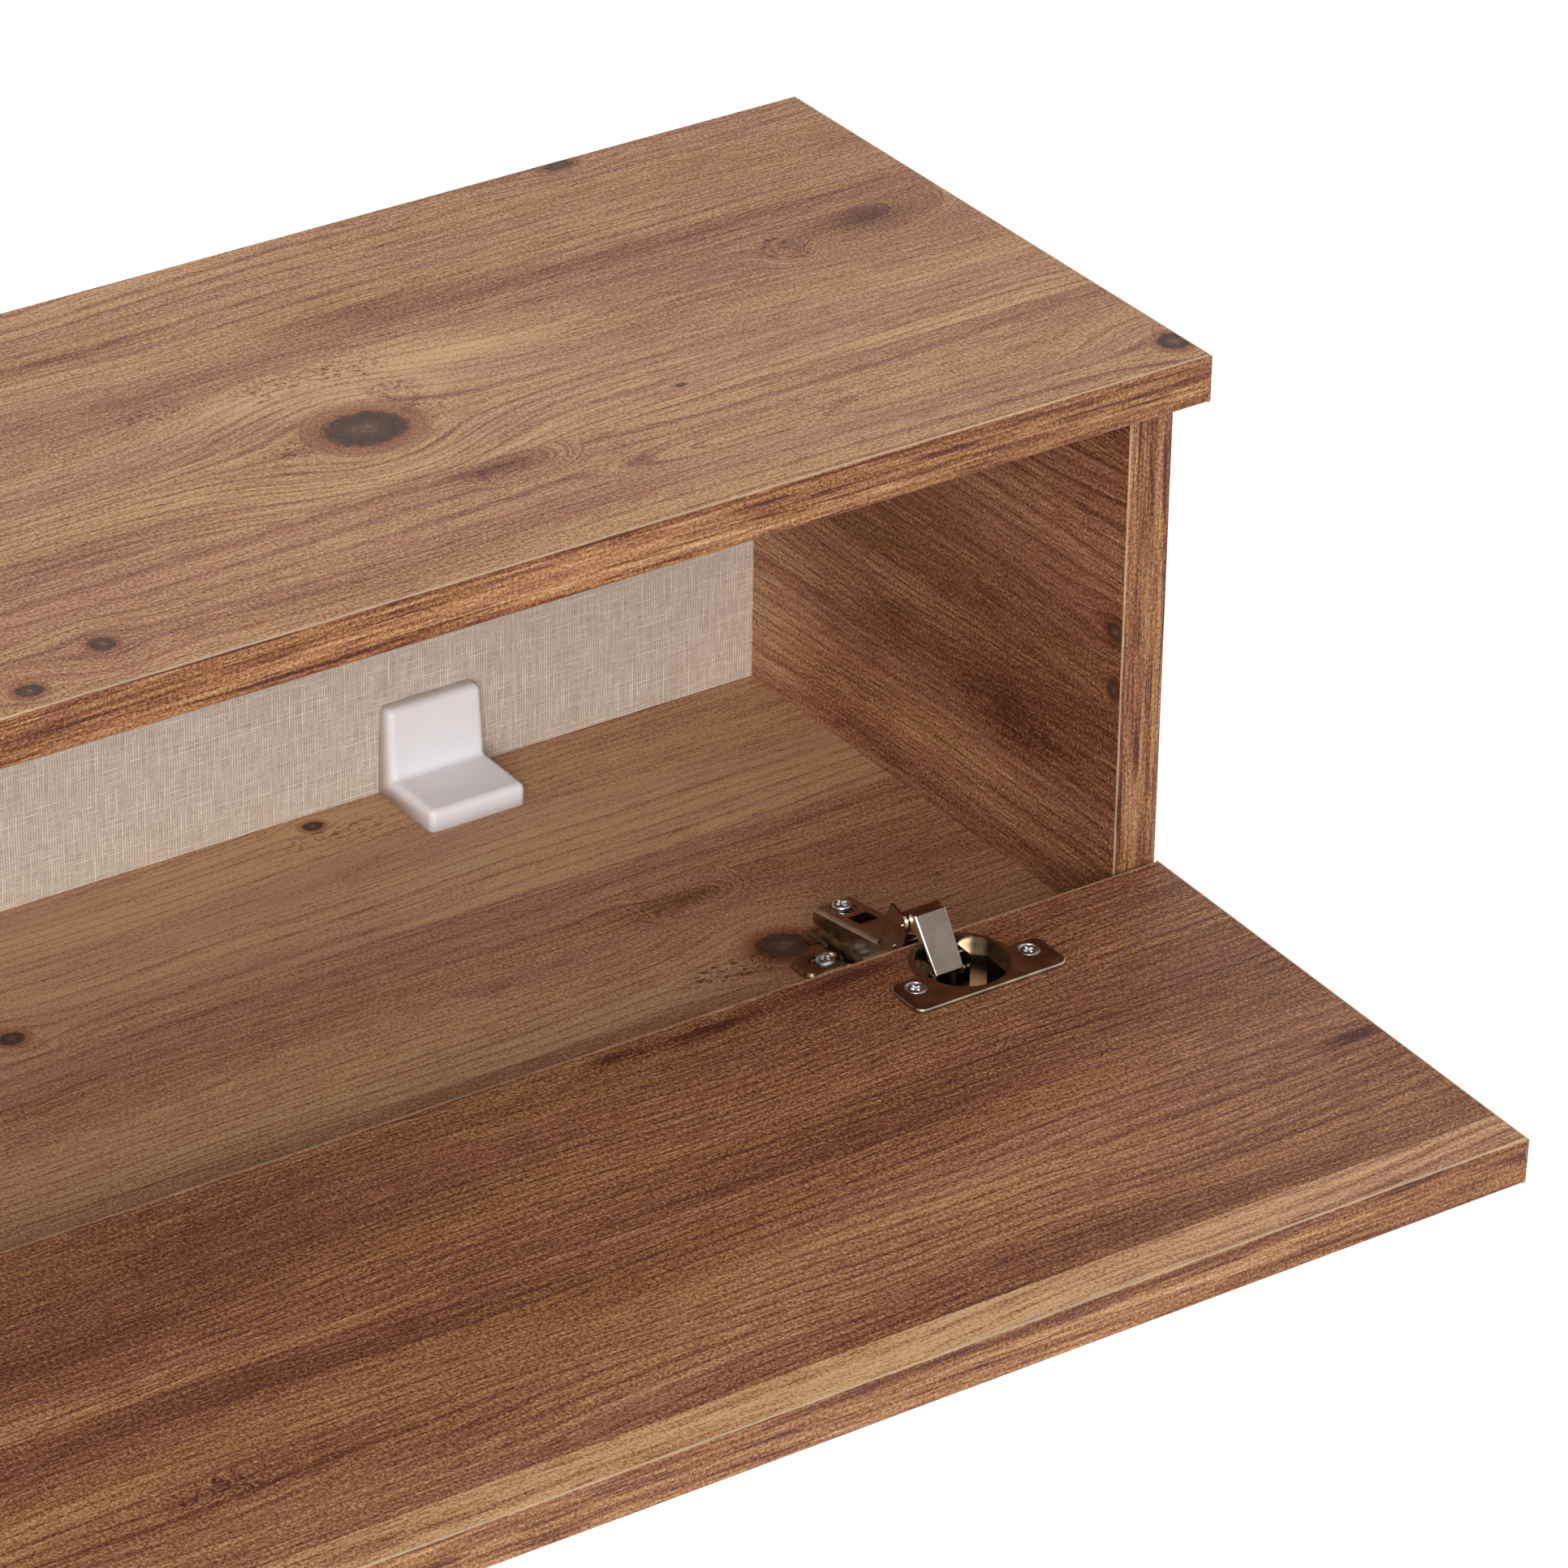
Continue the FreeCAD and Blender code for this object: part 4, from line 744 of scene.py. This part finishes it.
floor_mesh = bpy.data.meshes.new("floor")
ground = cad_box[0].z - FLOOR_DROP
floor_mesh.from_pydata([(-FLOOR_HALF, -FLOOR_HALF, ground), (FLOOR_HALF, -FLOOR_HALF, ground),
                        (FLOOR_HALF, FLOOR_HALF, ground), (-FLOOR_HALF, FLOOR_HALF, ground)],
                       [], [(0, 1, 2, 3)])
floor = bpy.data.objects.new("floor", floor_mesh)
bpy.context.scene.collection.objects.link(floor)
paper = Finish("floor_paper", Roughness=0.9)
paper.feed(Base_Color=paper.mix(paper.noise(paper.place, (2.0, 2.0, 2.0)), paint(232, 231, 229),
                                paint(240, 239, 238)))
glow = paper.calc("MULTIPLY", paper.add("LightPath", {}, "Is Camera Ray"), 0.45)
paper.shader.inputs["Emission Color"].default_value = (1.0, 1.0, 1.0, 1.0)
paper.feed(Emission_Strength=glow)
floor_mesh.materials.append(paper.material)

room = bpy.data.worlds.new("room")
room.use_nodes = True
bpy.context.scene.world = room
tree = room.node_tree
sky = tree.nodes["Background"]
path = tree.nodes.new("ShaderNodeLightPath")
seen = tree.nodes.new("ShaderNodeMath")
seen.operation = "MAXIMUM"
either = tree.nodes.new("ShaderNodeMath")
either.operation = "MAXIMUM"
level = tree.nodes.new("ShaderNodeMapRange")
level.inputs["To Min"].default_value = 0.75
level.inputs["To Max"].default_value = 1.0
tree.links.new(path.outputs["Is Camera Ray"], seen.inputs[0])
tree.links.new(path.outputs["Is Glossy Ray"], seen.inputs[1])
tree.links.new(seen.outputs[0], either.inputs[0])
tree.links.new(path.outputs["Is Transmission Ray"], either.inputs[1])
tree.links.new(either.outputs[0], level.inputs["Value"])
tree.links.new(level.outputs[0], sky.inputs["Strength"])
sky.inputs["Color"].default_value = (1.0, 1.0, 1.0, 1.0)


def soft_lamp(name, place, target, size, watts):
    """A square soft box at place, turned to face target."""
    light = bpy.data.lights.new(name, "AREA")
    light.size = size
    light.energy = watts
    lamp = bpy.data.objects.new(name, light)
    bpy.context.scene.collection.objects.link(lamp)
    place, target = np.array(place), np.array(target)
    lamp.location = place
    lamp.rotation_mode = "QUATERNION"
    lamp.rotation_quaternion = Vector(target - place).to_track_quat("-Z", "Y")


soft_lamp("overhead", (-0.2, -1.4, 2.6), (0.4, -0.3, 0.0), 1.8, 4.0)
soft_lamp("front", (-1.3, -2.9, 1.15), (0.35, -0.15, -0.05), 1.8, 104.0)


# Camera
# A long lens looking down into the right-hand compartment from the front left.

SIDE_PIXELS = 1932
FOCAL_PIXELS = 10303.36
CAMERA_PLACE = (-0.8815, -2.26283, 1.389)
CAMERA_TURN = (60.6914, -0.8486, -34.4688)

camera = bpy.data.cameras.new("camera")
camera.sensor_width = 36.0
camera.lens = camera.sensor_width * FOCAL_PIXELS / SIDE_PIXELS
camera.clip_end = 60.0
viewpoint = bpy.data.objects.new("camera", camera)
viewpoint.location = CAMERA_PLACE
viewpoint.rotation_euler = [math.radians(turn) for turn in CAMERA_TURN]
bpy.context.scene.collection.objects.link(viewpoint)
bpy.context.scene.camera = viewpoint
bpy.context.scene.view_settings.view_transform = "Standard"
